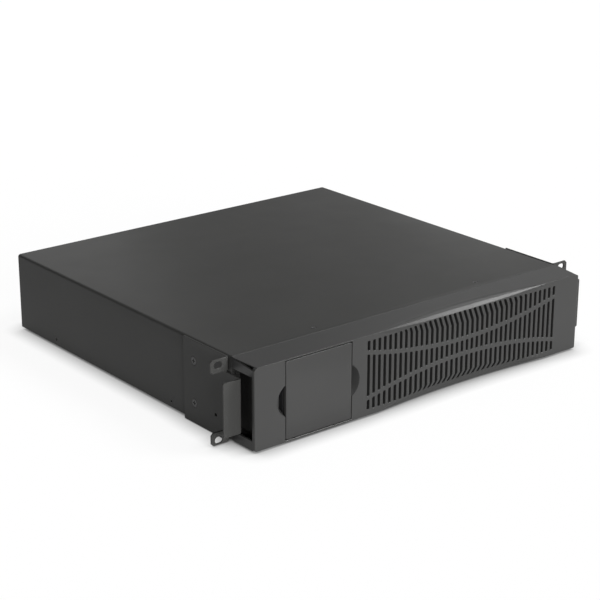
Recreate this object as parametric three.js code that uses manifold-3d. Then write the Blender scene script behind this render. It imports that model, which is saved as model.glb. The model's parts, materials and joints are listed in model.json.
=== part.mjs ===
// Two-unit rack-mount uninterruptible power supply.
// Millimetres. X runs to the right seen from the front, Y to the back and Z up.
// The parts are laid out with the front face at y = 0 and the underside of the case at z = 0;
// the last lines move the whole assembly so that its origin is at the middle of its lowest plane.

import * as THREE from 'three';
import { mergeVertices } from 'three/addons/utils/BufferGeometryUtils.js';
import Module from 'manifold-3d';

const wasm = await Module();
wasm.setup();

// ---------------------------------------------------------------- driving dimensions

const GAP = 0.3;
const CUT = 1;
const QUARTER = Math.PI / 2;
const HOLE_SIDES = 10;
const ROUND_SIDES = 20;

const CASE = { width: 438, height: 85, front: 35.3, back: 429, sheet: 1.2, edgeRadius: 3 };
const CASE_SIDE = CASE.width / 2;
const INSIDE = CASE_SIDE - CASE.sheet - GAP;
const COVER_SCREW = { x: 110, y: 47, headRadius: 2.8, headDepth: 1.3, shankRadius: 1.5, length: 6 };
const SIDE_HOLE = { radius: 1.25, z: 6.7, ys: [136.2, 354.5] };

const BASE = { flangeHeight: 14, front: 38.3, postRadius: 3, postFoot: 0.5, postTop: 7.2, postInset: 6 };
const FRONT_PLATE = { front: 36.8, back: 38, bottom: 1.5, top: 83.5 };
const PLATE_SLOT = { count: 20, pitch: 12.5, width: 3.6, firstX: -38, bottom: 12, top: 73 };
const REAR = { front: 427.8, bottom: 1.5, top: 83.5 };

const BEZEL = {
  depth: 35, wall: 3, bandWall: 10, bandHeight: 16.5,
  bottom: -0.8, frontTop: 83.5, innerTop: 80.8, cornerRadius: 1,
};
const SCOOP = {
  centreX: 52.8, halfLength: 119, topDepth: 12, bottomDepth: 6.5, height: 15, rise: 1.6, steps: 14,
};
const GRILLE = { columns: 38, pitch: 7.02, centreX: 51.4, slotWidth: 3.3, bottom: 5.4, top: 77.6 };
const RIB = { thickness: 4.3, upperMiddle: 49.8, lowerMiddle: 33.2, sweep: 15.7, halfLength: 130 };
const POCKET = { depth: 10, wall: 2, front: 3.7, bottom: 9.2, top: 73.8 };
const LEDGE = { size: 3.5 };

const HEAD = {
  x0: -181.5, x1: -100.4, z0: 1.5, z1: 81.4, coverFace: 2.2, coverDepth: 4.6, rim: 2, cornerRadius: 1,
};
const HEAD_MIDDLE = { x: (HEAD.x0 + HEAD.x1) / 2, z: (HEAD.z0 + HEAD.z1) / 2 };
const NOTCH = { radius: 18.5, offset: 32.15, depth: 12, sides: 32 };
const SURROUND = { x0: -194.5, x1: -87.5, back: 14, openingWall: 3, openingBack: 26 };
const DISPLAY = {
  front: 5, face: 2, back: 24, wall: 2, windowWidth: 60, windowHeight: 34, windowZ: 52,
};
const SCREEN = { front: 7.3, back: 9.3, margin: 2, cornerRadius: 1 };
const DISPLAY_BOARD = { front: 14, back: 15.6, width: 74, height: 72 };
const BOARD_SOCKET = { halfWidth: 12, halfHeight: 4, depth: 5, sunk: 0.5 };
const BUTTON = {
  z: 18, spacing: 18, radius: 4.2, front: 3.4, back: 12.4,
  collarRadius: 5.5, collarFront: 8.5, collarBack: 10,
};

const EAR = { sheet: 2, bottom: -2.3, top: 84.6, front: 38, back: 110.5, reach: 241.3, bendRadius: 3.5 };
const EAR_TAB = { upperBottom: 70.9, lowerTop: 11, chamfer: 2.5 };
const EAR_HOLE = { x: 232.4, zs: [2.6, 78.9], length: 9.4, height: 6.8, endRadius: 3.39 };
const HANDLE = { front: 18, back: 60, bottom: 13, top: 68.5, corner: 1.2 };
const EAR_SCREW = { y: 93.3, zs: [19.2, 63.2], headRadius: 4, shankRadius: 2, length: 6 };
const EAR_PILOT = { y: 58.2, z: 18.7, radius: 1.6 };

const FOOT = { x: 190, front: 75, back: 395, topRadius: 9, bottomRadius: 8, height: 2.7, bevel: 1 };

const DOOR = { x0: -214, x1: -60, z0: 5, z1: 81, front: 35.3, back: 36.5 };
const DOOR_OPENING = { x0: -196, x1: -78, z0: 8, z1: 78 };
const DOOR_SCREW = { inset: 11, z: 43, headRadius: 3, shankRadius: 1.5, headDepth: 2.5, length: 4 };
const TRAY = { x0: -214.5, x1: -60, y0: 40, y1: 335, z0: 1.6, z1: 50, sheet: 1.2 };
const BATTERY = { length: 151, width: 94, height: 65, firstY: 42, pitch: 96, z: 3.2, cornerRadius: 2 };
const BATTERY_TAB = { inset: 12, halfWidth: 3, setBack: 10, sheet: 0.8, height: 5 };

const BOARD = { x0: -50, x1: 212, y0: 50, y1: 385, z0: 7.5, z1: 9.1 };
const ON_BOARD = BOARD.z1 + GAP;
const HEAT_SINK = { xs: [5, 130], width: 45, y0: 80, y1: 260, base: 5, height: 58, fins: 8, fin: 2 };
const CORE = { x: -24, y: 300, width: 44, depth: 30, height: 44, leg: 6, window: 9, yoke: 8 };
const COIL = { overhang: 8, cornerRadius: 4 };
const CHOKE = { x: 85, y: 112, outer: 27, inner: 12, height: 22, bevel: 4, sides: 24 };
const CAPACITOR = { count: 4, x: -28, firstY: 82, pitch: 40, radius: 17.3, height: 50, lip: 2 };
const RELAY = { xs: [70, 105], width: 22, depth: 30, height: 26, y: 320, cornerRadius: 2 };
const CONTROL_BOARD = { x: 190, thickness: 1.6, y0: 70, y1: 260, z1: 75 };
const CHIP = { sunk: 0.5, height: 3, y0: 150, y1: 175, z0: 30, z1: 55 };

const FAN = {
  xs: [80, 165], z: 42.5, size: 80, depth: 25, cornerRadius: 3, bore: 38, hub: 16,
  strutDepth: 3, strutHalfWidth: 2, rotorFront: 2, rotorBack: 4,
};
const BLADE = { count: 7, reach: 36, overlap: 3, width: 17, sheet: 1.8, tilt: 0.7 };
const GUARD = { rings: [12, 24, 36], wire: 2, spokes: 4, reach: 50 };

const SOCKET_FACE = CASE.back + GAP;
const SOCKET_FRONT = SOCKET_FACE + 2;
const FLANGE_RADIUS = 2;
const MOUTH_RADIUS = 3;
const INLET = {
  x: -190, z: 58, width: 27, height: 21, depth: 24, cavity: 19, wall: 1.6, flangeX: 19, flangeZ: 15,
};
const PIN = { width: 8, height: 2, length: 17, spacing: 6.5, z: 3.5 };
const BREAKER = {
  x: -190, z: 22, body: 8, neck: 5.8, bore: 4.3, button: 4, nut: 8.5, nutSides: 6,
  back: 400, reach: 433, boreDepth: 14, buttonDepth: 12, buttonReach: 2,
};
const LARGE_OUTLET = {
  x: -148, z: 58, width: 32, height: 24, moat: 3, flangeX: 20, flangeZ: 16, slotWidth: 7.6, slotHeight: 2.4,
};
const OUTLET = {
  columns: 3, pitch: 33, firstX: -106, width: 28, height: 20, moat: 3, rows: [60, 24],
  flangeEdge: 2, slotWidth: 2.2, slotHeight: 4.4,
};
const CONTACTS = { spread: 0.32, liveZ: -2, earthZ: 3 };
const SOCKET_DEPTH = 22;
const MOAT = { depth: 16, edge: 0.8 };
const SLOT_COVER = { x0: -20, x1: 34, z0: 46, z1: 80, border: 4, screwRadius: 3, screwReach: 3 };
const PORTS = { x0: -20, x1: 34, z0: 8, z1: 38, back: 415, boardFront: 420, face: 431, z: 23 };
const SERIAL_PORT = { x: -8, width: 17, height: 9 };
const USB_PORT = { x: 11, width: 12, height: 11 };
const TERMINAL_PORT = { x: 26, width: 11, height: 9 };
const TONGUE = { inset: 3, halfHeight: 2, root: 7, mouthDepth: 6 };
const BATTERY_PLUG = {
  x: -148, z: 22, width: 40, height: 20, depth: 24, cell: 15, wall: 3, flangeEdge: 2,
  bladeInset: 2, bladeLift: 1, bladeSetBack: 4, bladeSheet: 1.5,
};

// ---------------------------------------------------------------- finishes

function finish(color, roughness, metalness) {
  return new THREE.MeshStandardMaterial({ color, roughness, metalness });
}

const POWDER_COAT = finish('#4a4a47', 0.55, 0.2);
const BEZEL_PLASTIC = finish('#55565a', 0.6, 0);
const BLACK_PLASTIC = finish('#1b1b1d', 0.55, 0);
const ZINC_STEEL = finish('#a9acad', 0.4, 0.9);
const ALUMINIUM = finish('#b9bcc0', 0.4, 0.9);
const RUBBER = finish('#141414', 0.9, 0);
const GREEN_BOARD = finish('#1f5a3a', 0.5, 0.1);
const COPPER = finish('#b06a3a', 0.4, 0.8);
const FERRITE = finish('#2e2d2c', 0.7, 0.2);
const SCREEN_GLASS = finish('#0c1014', 0.1, 0);
const BATTERY_CASE = finish('#2b2f36', 0.6, 0);
const BLUE_SLEEVE = finish('#24406e', 0.4, 0);
const BUTTON_GREY = finish('#8f9296', 0.6, 0);

// ---------------------------------------------------------------- solids

// A closed geometry becomes a solid once its shared corners are merged.
function toSolid(geometry) {
  geometry.deleteAttribute('normal');
  geometry.deleteAttribute('uv');
  const merged = mergeVertices(geometry);
  const vertProperties = merged.attributes.position.array;
  const triVerts = Uint32Array.from(merged.index.array);
  return new wasm.Manifold(new wasm.Mesh({ numProp: 3, vertProperties, triVerts }));
}

function toGeometry(solid) {
  const mesh = solid.getMesh();
  const geometry = new THREE.BufferGeometry();
  geometry.setAttribute('position', new THREE.BufferAttribute(mesh.vertProperties, 3));
  geometry.setIndex(new THREE.BufferAttribute(mesh.triVerts, 1));
  geometry.computeVertexNormals();
  return geometry;
}

function block(x0, x1, y0, y1, z0, z1) {
  const geometry = new THREE.BoxGeometry(x1 - x0, y1 - y0, z1 - z0);
  geometry.translate((x0 + x1) / 2, (y0 + y1) / 2, (z0 + z1) / 2);
  return toSolid(geometry);
}

// A block on the left or right side: side is -1 or 1 and the X limits are distances from the middle.
function sideBlock(side, near, far, y0, y1, z0, z1) {
  return block(Math.min(side * near, side * far), Math.max(side * near, side * far), y0, y1, z0, z1);
}

function extrude(shape, length) {
  return new THREE.ExtrudeGeometry(shape, { depth: length, bevelEnabled: false, curveSegments: 2 });
}

function extrudeZ(shape, z0, z1) {
  return toSolid(extrude(shape, z1 - z0).translate(0, 0, z0));
}

// The shape's two axes become X and Z.
function extrudeY(shape, y0, y1) {
  return toSolid(extrude(shape, y1 - y0).rotateX(QUARTER).translate(0, y1, 0));
}

// The shape's two axes become Y and Z.
function extrudeX(shape, x0, x1) {
  const turn = new THREE.Matrix4().makeBasis(
    new THREE.Vector3(0, 1, 0),
    new THREE.Vector3(0, 0, 1),
    new THREE.Vector3(1, 0, 0),
  );
  return toSolid(extrude(shape, x1 - x0).applyMatrix4(turn).translate(x0, 0, 0));
}

function cylinderX(radius, x0, x1, y, z, segments = 16) {
  const geometry = new THREE.CylinderGeometry(radius, radius, Math.abs(x1 - x0), segments);
  return toSolid(geometry.rotateZ(QUARTER).translate((x0 + x1) / 2, y, z));
}

function cylinderY(radius, y0, y1, x, z, segments = 16) {
  const geometry = new THREE.CylinderGeometry(radius, radius, y1 - y0, segments);
  return toSolid(geometry.translate(x, (y0 + y1) / 2, z));
}

function cylinderZ(radius, z0, z1, x, y, segments = 16) {
  const geometry = new THREE.CylinderGeometry(radius, radius, z1 - z0, segments);
  return toSolid(geometry.rotateX(QUARTER).translate(x, y, (z0 + z1) / 2));
}

// A turned solid from [radius, height] pairs that start and end on the axis. Its axis is Z.
function turned(profile, segments = 16) {
  const points = profile.map(([radius, height]) => new THREE.Vector2(radius, height));
  return new THREE.LatheGeometry(points, segments).rotateX(QUARTER);
}

function polygon(points) {
  return new THREE.Shape(points.map(([x, y]) => new THREE.Vector2(x, y)));
}

function roundedRect(x0, x1, y0, y1, radius) {
  const shape = new THREE.Shape();
  shape.moveTo(x0 + radius, y0);
  shape.absarc(x1 - radius, y0 + radius, radius, -QUARTER, 0);
  shape.absarc(x1 - radius, y1 - radius, radius, 0, QUARTER);
  shape.absarc(x0 + radius, y1 - radius, radius, QUARTER, Math.PI);
  shape.absarc(x0 + radius, y0 + radius, radius, Math.PI, Math.PI + QUARTER);
  return shape;
}

const join = (solids) => wasm.Manifold.union(solids);

// ---------------------------------------------------------------- assembly

const assembly = new THREE.Group();

function addMesh(name, geometry, material) {
  const mesh = new THREE.Mesh(geometry, material);
  mesh.name = name;
  assembly.add(mesh);
  return mesh;
}

function addSolid(name, solid, material) {
  return addMesh(name, toGeometry(solid), material);
}

// ---------------------------------------------------------------- sheet-metal case

// Outline of the cover's sheet, from the foot of the left side over the top to the right foot.
function coverOutline() {
  const radius = CASE.edgeRadius;
  const inner = CASE_SIDE - CASE.sheet;
  const innerTop = CASE.height - CASE.sheet;
  const shape = new THREE.Shape();
  shape.moveTo(CASE_SIDE, 0);
  shape.absarc(CASE_SIDE - radius, CASE.height - radius, radius, 0, QUARTER);
  shape.absarc(radius - CASE_SIDE, CASE.height - radius, radius, QUARTER, Math.PI);
  shape.lineTo(-CASE_SIDE, 0);
  shape.lineTo(-inner, 0);
  shape.lineTo(-inner, innerTop);
  shape.lineTo(inner, innerTop);
  shape.lineTo(inner, 0);
  return shape;
}

// The countersunk hole of one cover screw, carried on a little above the sheet.
function coverScrewHole(x) {
  const { headRadius, headDepth, shankRadius, y } = COVER_SCREW;
  const slope = (headRadius - shankRadius) / headDepth;
  const hole = turned([
    [0, -headDepth - CUT],
    [shankRadius + GAP, -headDepth - CUT],
    [shankRadius + GAP, -headDepth],
    [headRadius + GAP + slope * GAP, GAP],
    [0, GAP],
  ]);
  return toSolid(hole.translate(x, y, CASE.height));
}

function topCover() {
  let solid = extrudeY(coverOutline(), CASE.front, CASE.back);
  const holes = [];
  for (const side of [-1, 1]) {
    const outside = side * (CASE_SIDE + CUT);
    const inside = side * (CASE_SIDE - CASE.sheet - CUT);
    for (const y of SIDE_HOLE.ys) {
      holes.push(cylinderX(SIDE_HOLE.radius, inside, outside, y, SIDE_HOLE.z, HOLE_SIDES));
    }
    for (const z of EAR_SCREW.zs) {
      holes.push(cylinderX(EAR_SCREW.shankRadius + GAP, inside, outside, EAR_SCREW.y, z, HOLE_SIDES));
    }
    holes.push(coverScrewHole(side * COVER_SCREW.x));
  }
  solid = solid.subtract(join(holes));
  addSolid('top_cover', solid, POWDER_COAT);
}

function coverScrews() {
  const { x, y, headRadius, headDepth, shankRadius, length } = COVER_SCREW;
  for (const [name, side] of [['left', -1], ['right', 1]]) {
    const geometry = turned([
      [0, -length],
      [shankRadius, -length],
      [shankRadius, -headDepth],
      [headRadius, 0],
      [0, 0],
    ]);
    const mesh = addMesh(`cover_screw_${name}`, geometry, ZINC_STEEL);
    mesh.position.set(side * x, y, CASE.height);
  }
}

function basePan() {
  const back = REAR.front - GAP;
  const parts = [block(-INSIDE, INSIDE, BASE.front, back, 0, CASE.sheet)];
  for (const side of [-1, 1]) {
    parts.push(sideBlock(side, INSIDE - CASE.sheet, INSIDE, BASE.front, back, 0, BASE.flangeHeight));
  }
  const { postRadius, postFoot, postTop, postInset } = BASE;
  for (const x of [BOARD.x0 + postInset, (BOARD.x0 + BOARD.x1) / 2, BOARD.x1 - postInset]) {
    for (const y of [BOARD.y0 + postInset, BOARD.y1 - postInset]) {
      parts.push(cylinderZ(postRadius, postFoot, postTop, x, y, HOLE_SIDES));
    }
  }
  const holes = [];
  for (const side of [-1, 1]) {
    for (const y of SIDE_HOLE.ys) {
      const inside = side * (INSIDE - 2 * CUT);
      const outside = side * (INSIDE + CUT);
      holes.push(cylinderX(SIDE_HOLE.radius, inside, outside, y, SIDE_HOLE.z, HOLE_SIDES));
    }
  }
  addSolid('base_pan', join(parts).subtract(join(holes)), ZINC_STEEL);
}

function frontPlate() {
  const { front, back, bottom, top } = FRONT_PLATE;
  const plate = block(-INSIDE, INSIDE, front, back, bottom, top);
  const y0 = front - CUT;
  const y1 = back + CUT;
  const holes = [block(DOOR_OPENING.x0, DOOR_OPENING.x1, y0, y1, DOOR_OPENING.z0, DOOR_OPENING.z1)];
  for (let index = 0; index < PLATE_SLOT.count; index += 1) {
    const x = PLATE_SLOT.firstX + index * PLATE_SLOT.pitch;
    holes.push(block(x, x + PLATE_SLOT.width, y0, y1, PLATE_SLOT.bottom, PLATE_SLOT.top));
  }
  for (const x of [DOOR.x0 + DOOR_SCREW.inset, DOOR.x1 - DOOR_SCREW.inset]) {
    holes.push(cylinderY(DOOR_SCREW.shankRadius + GAP, y0, y1, x, DOOR_SCREW.z, HOLE_SIDES));
  }
  addSolid('front_plate', plate.subtract(join(holes)), POWDER_COAT);
}

function rearPanel() {
  const y0 = REAR.front - CUT;
  const y1 = CASE.back + CUT;
  const around = (x, z, width, height) => block(
    x - width / 2 - GAP, x + width / 2 + GAP, y0, y1, z - height / 2 - GAP, z + height / 2 + GAP,
  );
  const holes = [
    around(INLET.x, INLET.z, INLET.width + 2 * INLET.wall, INLET.height + 2 * INLET.wall),
    around(LARGE_OUTLET.x, LARGE_OUTLET.z, LARGE_OUTLET.width, LARGE_OUTLET.height),
    around(BATTERY_PLUG.x, BATTERY_PLUG.z, BATTERY_PLUG.width, BATTERY_PLUG.height),
    cylinderY(BREAKER.neck + GAP, y0, y1, BREAKER.x, BREAKER.z),
  ];
  const bankMiddle = OUTLET.firstX + OUTLET.pitch * (OUTLET.columns - 1) / 2;
  for (const z of OUTLET.rows) {
    holes.push(around(bankMiddle, z, OUTLET.columns * OUTLET.pitch, OUTLET.height + OUTLET.moat));
  }
  const { x0, x1, z0, z1, border } = SLOT_COVER;
  holes.push(block(x0 + border, x1 - border, y0, y1, z0 + border, z1 - border));
  for (const port of [SERIAL_PORT, USB_PORT, TERMINAL_PORT]) {
    holes.push(around(port.x, PORTS.z, port.width, port.height));
  }
  for (const x of FAN.xs) {
    holes.push(cylinderY(FAN.bore, y0, y1, x, FAN.z, ROUND_SIDES));
  }
  const panel = block(-INSIDE, INSIDE, REAR.front, CASE.back, REAR.bottom, REAR.top);
  addSolid('rear_panel', panel.subtract(join(holes)), POWDER_COAT);
}

// ---------------------------------------------------------------- bezel

// Depth and height of both scoops fade from the middle to the ends along this parabola.
const scoopFade = (x) => 1 - ((x - SCOOP.centreX) / SCOOP.halfLength) ** 2;

// The piece cut away from one long edge of the bezel: direction is 1 for the top, -1 for the bottom.
// It slopes back from the front face, and depth is as deep as it goes at the middle.
function scoopCutter(edge, direction, depth) {
  const low = SCOOP.centreX - SCOOP.halfLength;
  const high = SCOOP.centreX + SCOOP.halfLength;
  const step = (high - low) / SCOOP.steps;
  const past = edge + direction * 2 * SCOOP.height;
  const front = [];
  const plan = [];
  for (let index = 0; index <= SCOOP.steps; index += 1) {
    const x = low + index * step;
    front.push([x, edge - direction * SCOOP.height * scoopFade(x)]);
    plan.push([x, depth * scoopFade(x)]);
  }
  front.push([high, past], [low, past]);
  plan.push([high, -CUT], [low, -CUT]);
  const sloped = extrude(polygon(front), depth + 2 * CUT).rotateX(QUARTER);
  sloped.translate(0, depth + CUT, 0);
  sloped.applyMatrix4(new THREE.Matrix4().makeShear(0, 0, 0, direction * SCOOP.rise, 0, 0));
  const reach = 3 * SCOOP.height;
  return toSolid(sloped).intersect(extrudeZ(polygon(plan), edge - reach, edge + reach));
}

function grilleSlots() {
  const slots = [];
  for (let column = 0; column < GRILLE.columns; column += 1) {
    const x = GRILLE.centreX + (column - (GRILLE.columns - 1) / 2) * GRILLE.pitch;
    const sweep = RIB.sweep * ((x - GRILLE.centreX) / RIB.halfLength) ** 2;
    const half = RIB.thickness / 2;
    const lower = RIB.lowerMiddle - sweep;
    const upper = RIB.upperMiddle + sweep;
    const left = x - GRILLE.slotWidth / 2;
    const right = x + GRILLE.slotWidth / 2;
    const rows = [
      [GRILLE.bottom, lower - half],
      [lower + half, upper - half],
      [upper + half, GRILLE.top],
    ];
    for (const [z0, z1] of rows) {
      slots.push(block(left, right, -CUT, BEZEL.bandWall + CUT, z0, z1));
    }
  }
  return join(slots);
}

function bezelShell() {
  const { depth, wall, bandWall, bandHeight, bottom, frontTop, innerTop, cornerRadius } = BEZEL;
  const side = polygon([[0, bottom], [depth, bottom], [depth, CASE.height], [0, frontTop]]);
  const plan = roundedRect(-CASE_SIDE, CASE_SIDE, 0, 2 * depth, cornerRadius);
  const rounded = extrudeZ(plan, bottom - CUT, CASE.height + CUT);
  const outer = extrudeX(side, -CASE_SIDE, CASE_SIDE).intersect(rounded);
  const innerBottom = bottom + wall;
  const open = depth + CUT;
  const hollow = polygon([
    [wall, bandHeight],
    [bandWall, bandHeight - CUT],
    [bandWall, innerBottom],
    [open, innerBottom],
    [open, innerTop],
    [bandWall, innerTop],
    [bandWall, frontTop - bandHeight + CUT],
    [wall, frontTop - bandHeight],
  ]);
  return outer.subtract(extrudeX(hollow, wall - CASE_SIDE, CASE_SIDE - wall));
}

// The step that fades away to the back along each upper side edge.
function ledgeCutter(side) {
  const rise = BEZEL.frontTop - LEDGE.size;
  const high = CASE.height + CUT;
  const slope = polygon([[-CUT, rise], [BEZEL.depth, CASE.height], [BEZEL.depth, high], [-CUT, high]]);
  const wedge = extrudeX(slope, -CASE_SIDE - CUT, CASE_SIDE + CUT);
  const edge = side * (CASE_SIDE + CUT);
  const step = side * (CASE_SIDE - LEDGE.size);
  const taper = polygon([[edge, -CUT], [step, -CUT], [side * CASE_SIDE, BEZEL.depth], [edge, BEZEL.depth]]);
  return wedge.intersect(extrudeZ(taper, rise - CUT, high + CUT));
}

// The boxed pocket in one side, for the fingers that pull the bezel off.
function sidePocket(side) {
  const { depth, wall, front, bottom, top } = POCKET;
  const floor = CASE_SIDE - depth;
  const back = BEZEL.depth;
  return {
    box: sideBlock(side, floor - wall, CASE_SIDE - CUT, CUT, back, bottom - wall, top + wall),
    hollow: sideBlock(side, floor, CASE_SIDE + CUT, front, back + CUT, bottom, top),
  };
}

function frontBezel() {
  const { bottom, frontTop } = BEZEL;
  const { x0, x1, back, openingWall, openingBack } = SURROUND;
  const low = bottom + CUT;
  const high = frontTop - CUT;
  const added = [
    block(x0, x1, CUT, back, low, high),
    block(HEAD.x0 - openingWall, HEAD.x1 + openingWall, CUT, openingBack, low, high),
  ];
  const cuts = [
    block(HEAD.x0 - 2 * GAP, HEAD.x1 + 2 * GAP, -CUT, openingBack + CUT, HEAD.z0 - GAP, HEAD.z1 + GAP),
    scoopCutter(frontTop, 1, SCOOP.topDepth),
    scoopCutter(bottom, -1, SCOOP.bottomDepth),
    grilleSlots(),
  ];
  for (const side of [-1, 1]) {
    const notchX = HEAD_MIDDLE.x + side * NOTCH.offset;
    cuts.push(cylinderY(NOTCH.radius, -CUT, NOTCH.depth, notchX, HEAD_MIDDLE.z, NOTCH.sides));
    const pocket = sidePocket(side);
    added.push(pocket.box);
    cuts.push(pocket.hollow, ledgeCutter(side));
  }
  addSolid('front_bezel', bezelShell().add(join(added)).subtract(join(cuts)), BEZEL_PLASTIC);
}

// ---------------------------------------------------------------- control panel

function displayCover() {
  const { x0, x1, z0, z1, coverFace, coverDepth, rim, cornerRadius } = HEAD;
  const plate = extrudeY(roundedRect(x0, x1, z0, z1, cornerRadius), 0, coverDepth);
  const recess = block(x0 + rim, x1 - rim, coverFace, coverDepth + CUT, z0 + rim, z1 - rim);
  addSolid('display_cover', plate.subtract(recess), BEZEL_PLASTIC);
}

const buttonXs = [-1, 0, 1].map((index) => HEAD_MIDDLE.x + index * BUTTON.spacing);

function displayFrame() {
  const { front, face, back, wall, windowWidth, windowHeight, windowZ } = DISPLAY;
  const { x0, x1, z0, z1 } = HEAD;
  const inside = front + face;
  const left = HEAD_MIDDLE.x - windowWidth / 2;
  const bottom = windowZ - windowHeight / 2;
  const cuts = [
    block(x0 + wall, x1 - wall, inside, back + CUT, z0 + wall, z1 - wall),
    block(left, left + windowWidth, front - CUT, inside + CUT, bottom, bottom + windowHeight),
  ];
  for (const x of buttonXs) {
    cuts.push(cylinderY(BUTTON.radius + GAP, front - CUT, inside + CUT, x, BUTTON.z, ROUND_SIDES));
  }
  addSolid('display_frame', block(x0, x1, front, back, z0, z1).subtract(join(cuts)), BLACK_PLASTIC);
}

function displayScreen() {
  const { front, back, margin, cornerRadius } = SCREEN;
  const halfWidth = DISPLAY.windowWidth / 2 + margin;
  const halfHeight = DISPLAY.windowHeight / 2 + margin;
  const { x } = HEAD_MIDDLE;
  const z = DISPLAY.windowZ;
  const outline = roundedRect(x - halfWidth, x + halfWidth, z - halfHeight, z + halfHeight, cornerRadius);
  addSolid('display_screen', extrudeY(outline, front, back), SCREEN_GLASS);
}

function displayBoard() {
  const { front, back, width, height } = DISPLAY_BOARD;
  const { halfWidth, halfHeight, depth, sunk } = BOARD_SOCKET;
  const { x, z } = HEAD_MIDDLE;
  const plate = block(x - width / 2, x + width / 2, front, back, z - height / 2, z + height / 2);
  const socket = block(
    x - halfWidth, x + halfWidth,
    back - sunk, back + depth,
    z - halfHeight, z + halfHeight,
  );
  addSolid('display_board', plate.add(socket), GREEN_BOARD);
}

function panelButtons() {
  const { radius, front, back, collarRadius, collarFront, collarBack, z } = BUTTON;
  const names = ['left', 'middle', 'right'];
  buttonXs.forEach((x, index) => {
    const cap = cylinderY(radius, front, back, x, z, ROUND_SIDES);
    const collar = cylinderY(collarRadius, collarFront, collarBack, x, z, ROUND_SIDES);
    addSolid(`panel_button_${names[index]}`, cap.add(collar), BUTTON_GREY);
  });
}

// ---------------------------------------------------------------- rack ears

// Plan of a sheet that runs forwards beside the case and turns outwards at its front edge.
function bentPlan(side, front, back) {
  const near = side * (CASE_SIDE + GAP);
  const far = side * (CASE_SIDE + GAP + EAR.sheet);
  const reach = side * EAR.reach;
  const outer = EAR.bendRadius;
  const inner = EAR.bendRadius - EAR.sheet;
  const shape = new THREE.Shape();
  shape.moveTo(near, back);
  shape.lineTo(near, front + outer);
  shape.quadraticCurveTo(near, front, near + side * outer, front);
  shape.lineTo(reach, front);
  shape.lineTo(reach, front + EAR.sheet);
  shape.lineTo(far + side * inner, front + EAR.sheet);
  shape.quadraticCurveTo(far, front + EAR.sheet, far, front + EAR.sheet + inner);
  shape.lineTo(far, back);
  return shape;
}

// A triangle cut off an outer corner of a flange, all the way through it.
function cornerCut(side, z, up, size, y) {
  const x = side * EAR.reach;
  const corner = polygon([
    [x - side * size, z + up * CUT],
    [x + side * CUT, z + up * CUT],
    [x + side * CUT, z - up * size],
  ]);
  return extrudeY(corner, y - CUT, y + EAR.sheet + CUT);
}

function earScrewHole(side, z) {
  const { headRadius, shankRadius, y } = EAR_SCREW;
  const slope = (headRadius - shankRadius) / EAR.sheet;
  const geometry = new THREE.CylinderGeometry(
    headRadius + GAP + slope * GAP,
    shankRadius + GAP - slope * GAP,
    EAR.sheet + 2 * GAP,
    ROUND_SIDES,
  );
  geometry.rotateZ(-side * QUARTER);
  return toSolid(geometry.translate(side * (CASE_SIDE + GAP + EAR.sheet / 2), y, z));
}

// The slot for a rack screw, as far above the floor as z.
function rackHole(side, z) {
  const { x, length, height } = EAR_HOLE;
  const left = side * x - length / 2;
  const bottom = z - height / 2;
  const slot = roundedRect(left, left + length, bottom, bottom + height, EAR_HOLE.endRadius);
  return extrudeY(slot, EAR.front - CUT, EAR.front + EAR.sheet + CUT);
}

function rackEar(name, side) {
  const { sheet, bottom, top, front, back, reach, bendRadius } = EAR;
  const { upperBottom, lowerTop, chamfer } = EAR_TAB;
  const near = CASE_SIDE + GAP - CUT;
  const past = reach + CUT;
  const plate = extrudeZ(bentPlan(side, front, back), bottom, top);
  const notch = sideBlock(side, near, past, front - CUT, front + bendRadius, lowerTop, upperBottom);
  const grip = extrudeZ(bentPlan(side, HANDLE.front, HANDLE.back), HANDLE.bottom, HANDLE.top);
  const cuts = [
    cornerCut(side, top, 1, chamfer, front),
    cornerCut(side, upperBottom, -1, chamfer, front),
    cornerCut(side, lowerTop, 1, chamfer, front),
    cornerCut(side, bottom, -1, chamfer, front),
    cornerCut(side, HANDLE.top, 1, HANDLE.corner, HANDLE.front),
    cornerCut(side, HANDLE.bottom, -1, HANDLE.corner, HANDLE.front),
  ];
  for (const z of EAR_HOLE.zs) {
    cuts.push(rackHole(side, z));
  }
  for (const z of EAR_SCREW.zs) {
    cuts.push(earScrewHole(side, z));
  }
  const far = near + sheet + 2 * CUT;
  cuts.push(cylinderX(EAR_PILOT.radius, side * near, side * far, EAR_PILOT.y, EAR_PILOT.z, HOLE_SIDES));
  addSolid(name, plate.subtract(notch).add(grip).subtract(join(cuts)), POWDER_COAT);
}

function earScrews() {
  const { headRadius, shankRadius, length, y, zs } = EAR_SCREW;
  for (const [sideName, side] of [['left', -1], ['right', 1]]) {
    zs.forEach((z, index) => {
      const geometry = turned([
        [0, -length],
        [shankRadius, -length],
        [shankRadius, -EAR.sheet],
        [headRadius, 0],
        [0, 0],
      ]);
      const mesh = addMesh(`ear_screw_${sideName}_${['lower', 'upper'][index]}`, geometry, ZINC_STEEL);
      mesh.position.set(side * (CASE_SIDE + GAP + EAR.sheet), y, z);
      mesh.rotation.y = side * QUARTER;
    });
  }
}

function feet() {
  const { bottomRadius, topRadius, height, bevel } = FOOT;
  for (const [sideName, side] of [['left', -1], ['right', 1]]) {
    for (const [endName, y] of [['front', FOOT.front], ['rear', FOOT.back]]) {
      const geometry = turned([
        [0, -height - GAP],
        [bottomRadius - bevel, -height - GAP],
        [bottomRadius, -height - GAP + bevel],
        [topRadius, -GAP],
        [0, -GAP],
      ], ROUND_SIDES);
      const mesh = addMesh(`foot_${endName}_${sideName}`, geometry, RUBBER);
      mesh.position.set(side * FOOT.x, y, 0);
    }
  }
}

// ---------------------------------------------------------------- battery

const doorScrewXs = [DOOR.x0 + DOOR_SCREW.inset, DOOR.x1 - DOOR_SCREW.inset];

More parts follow.
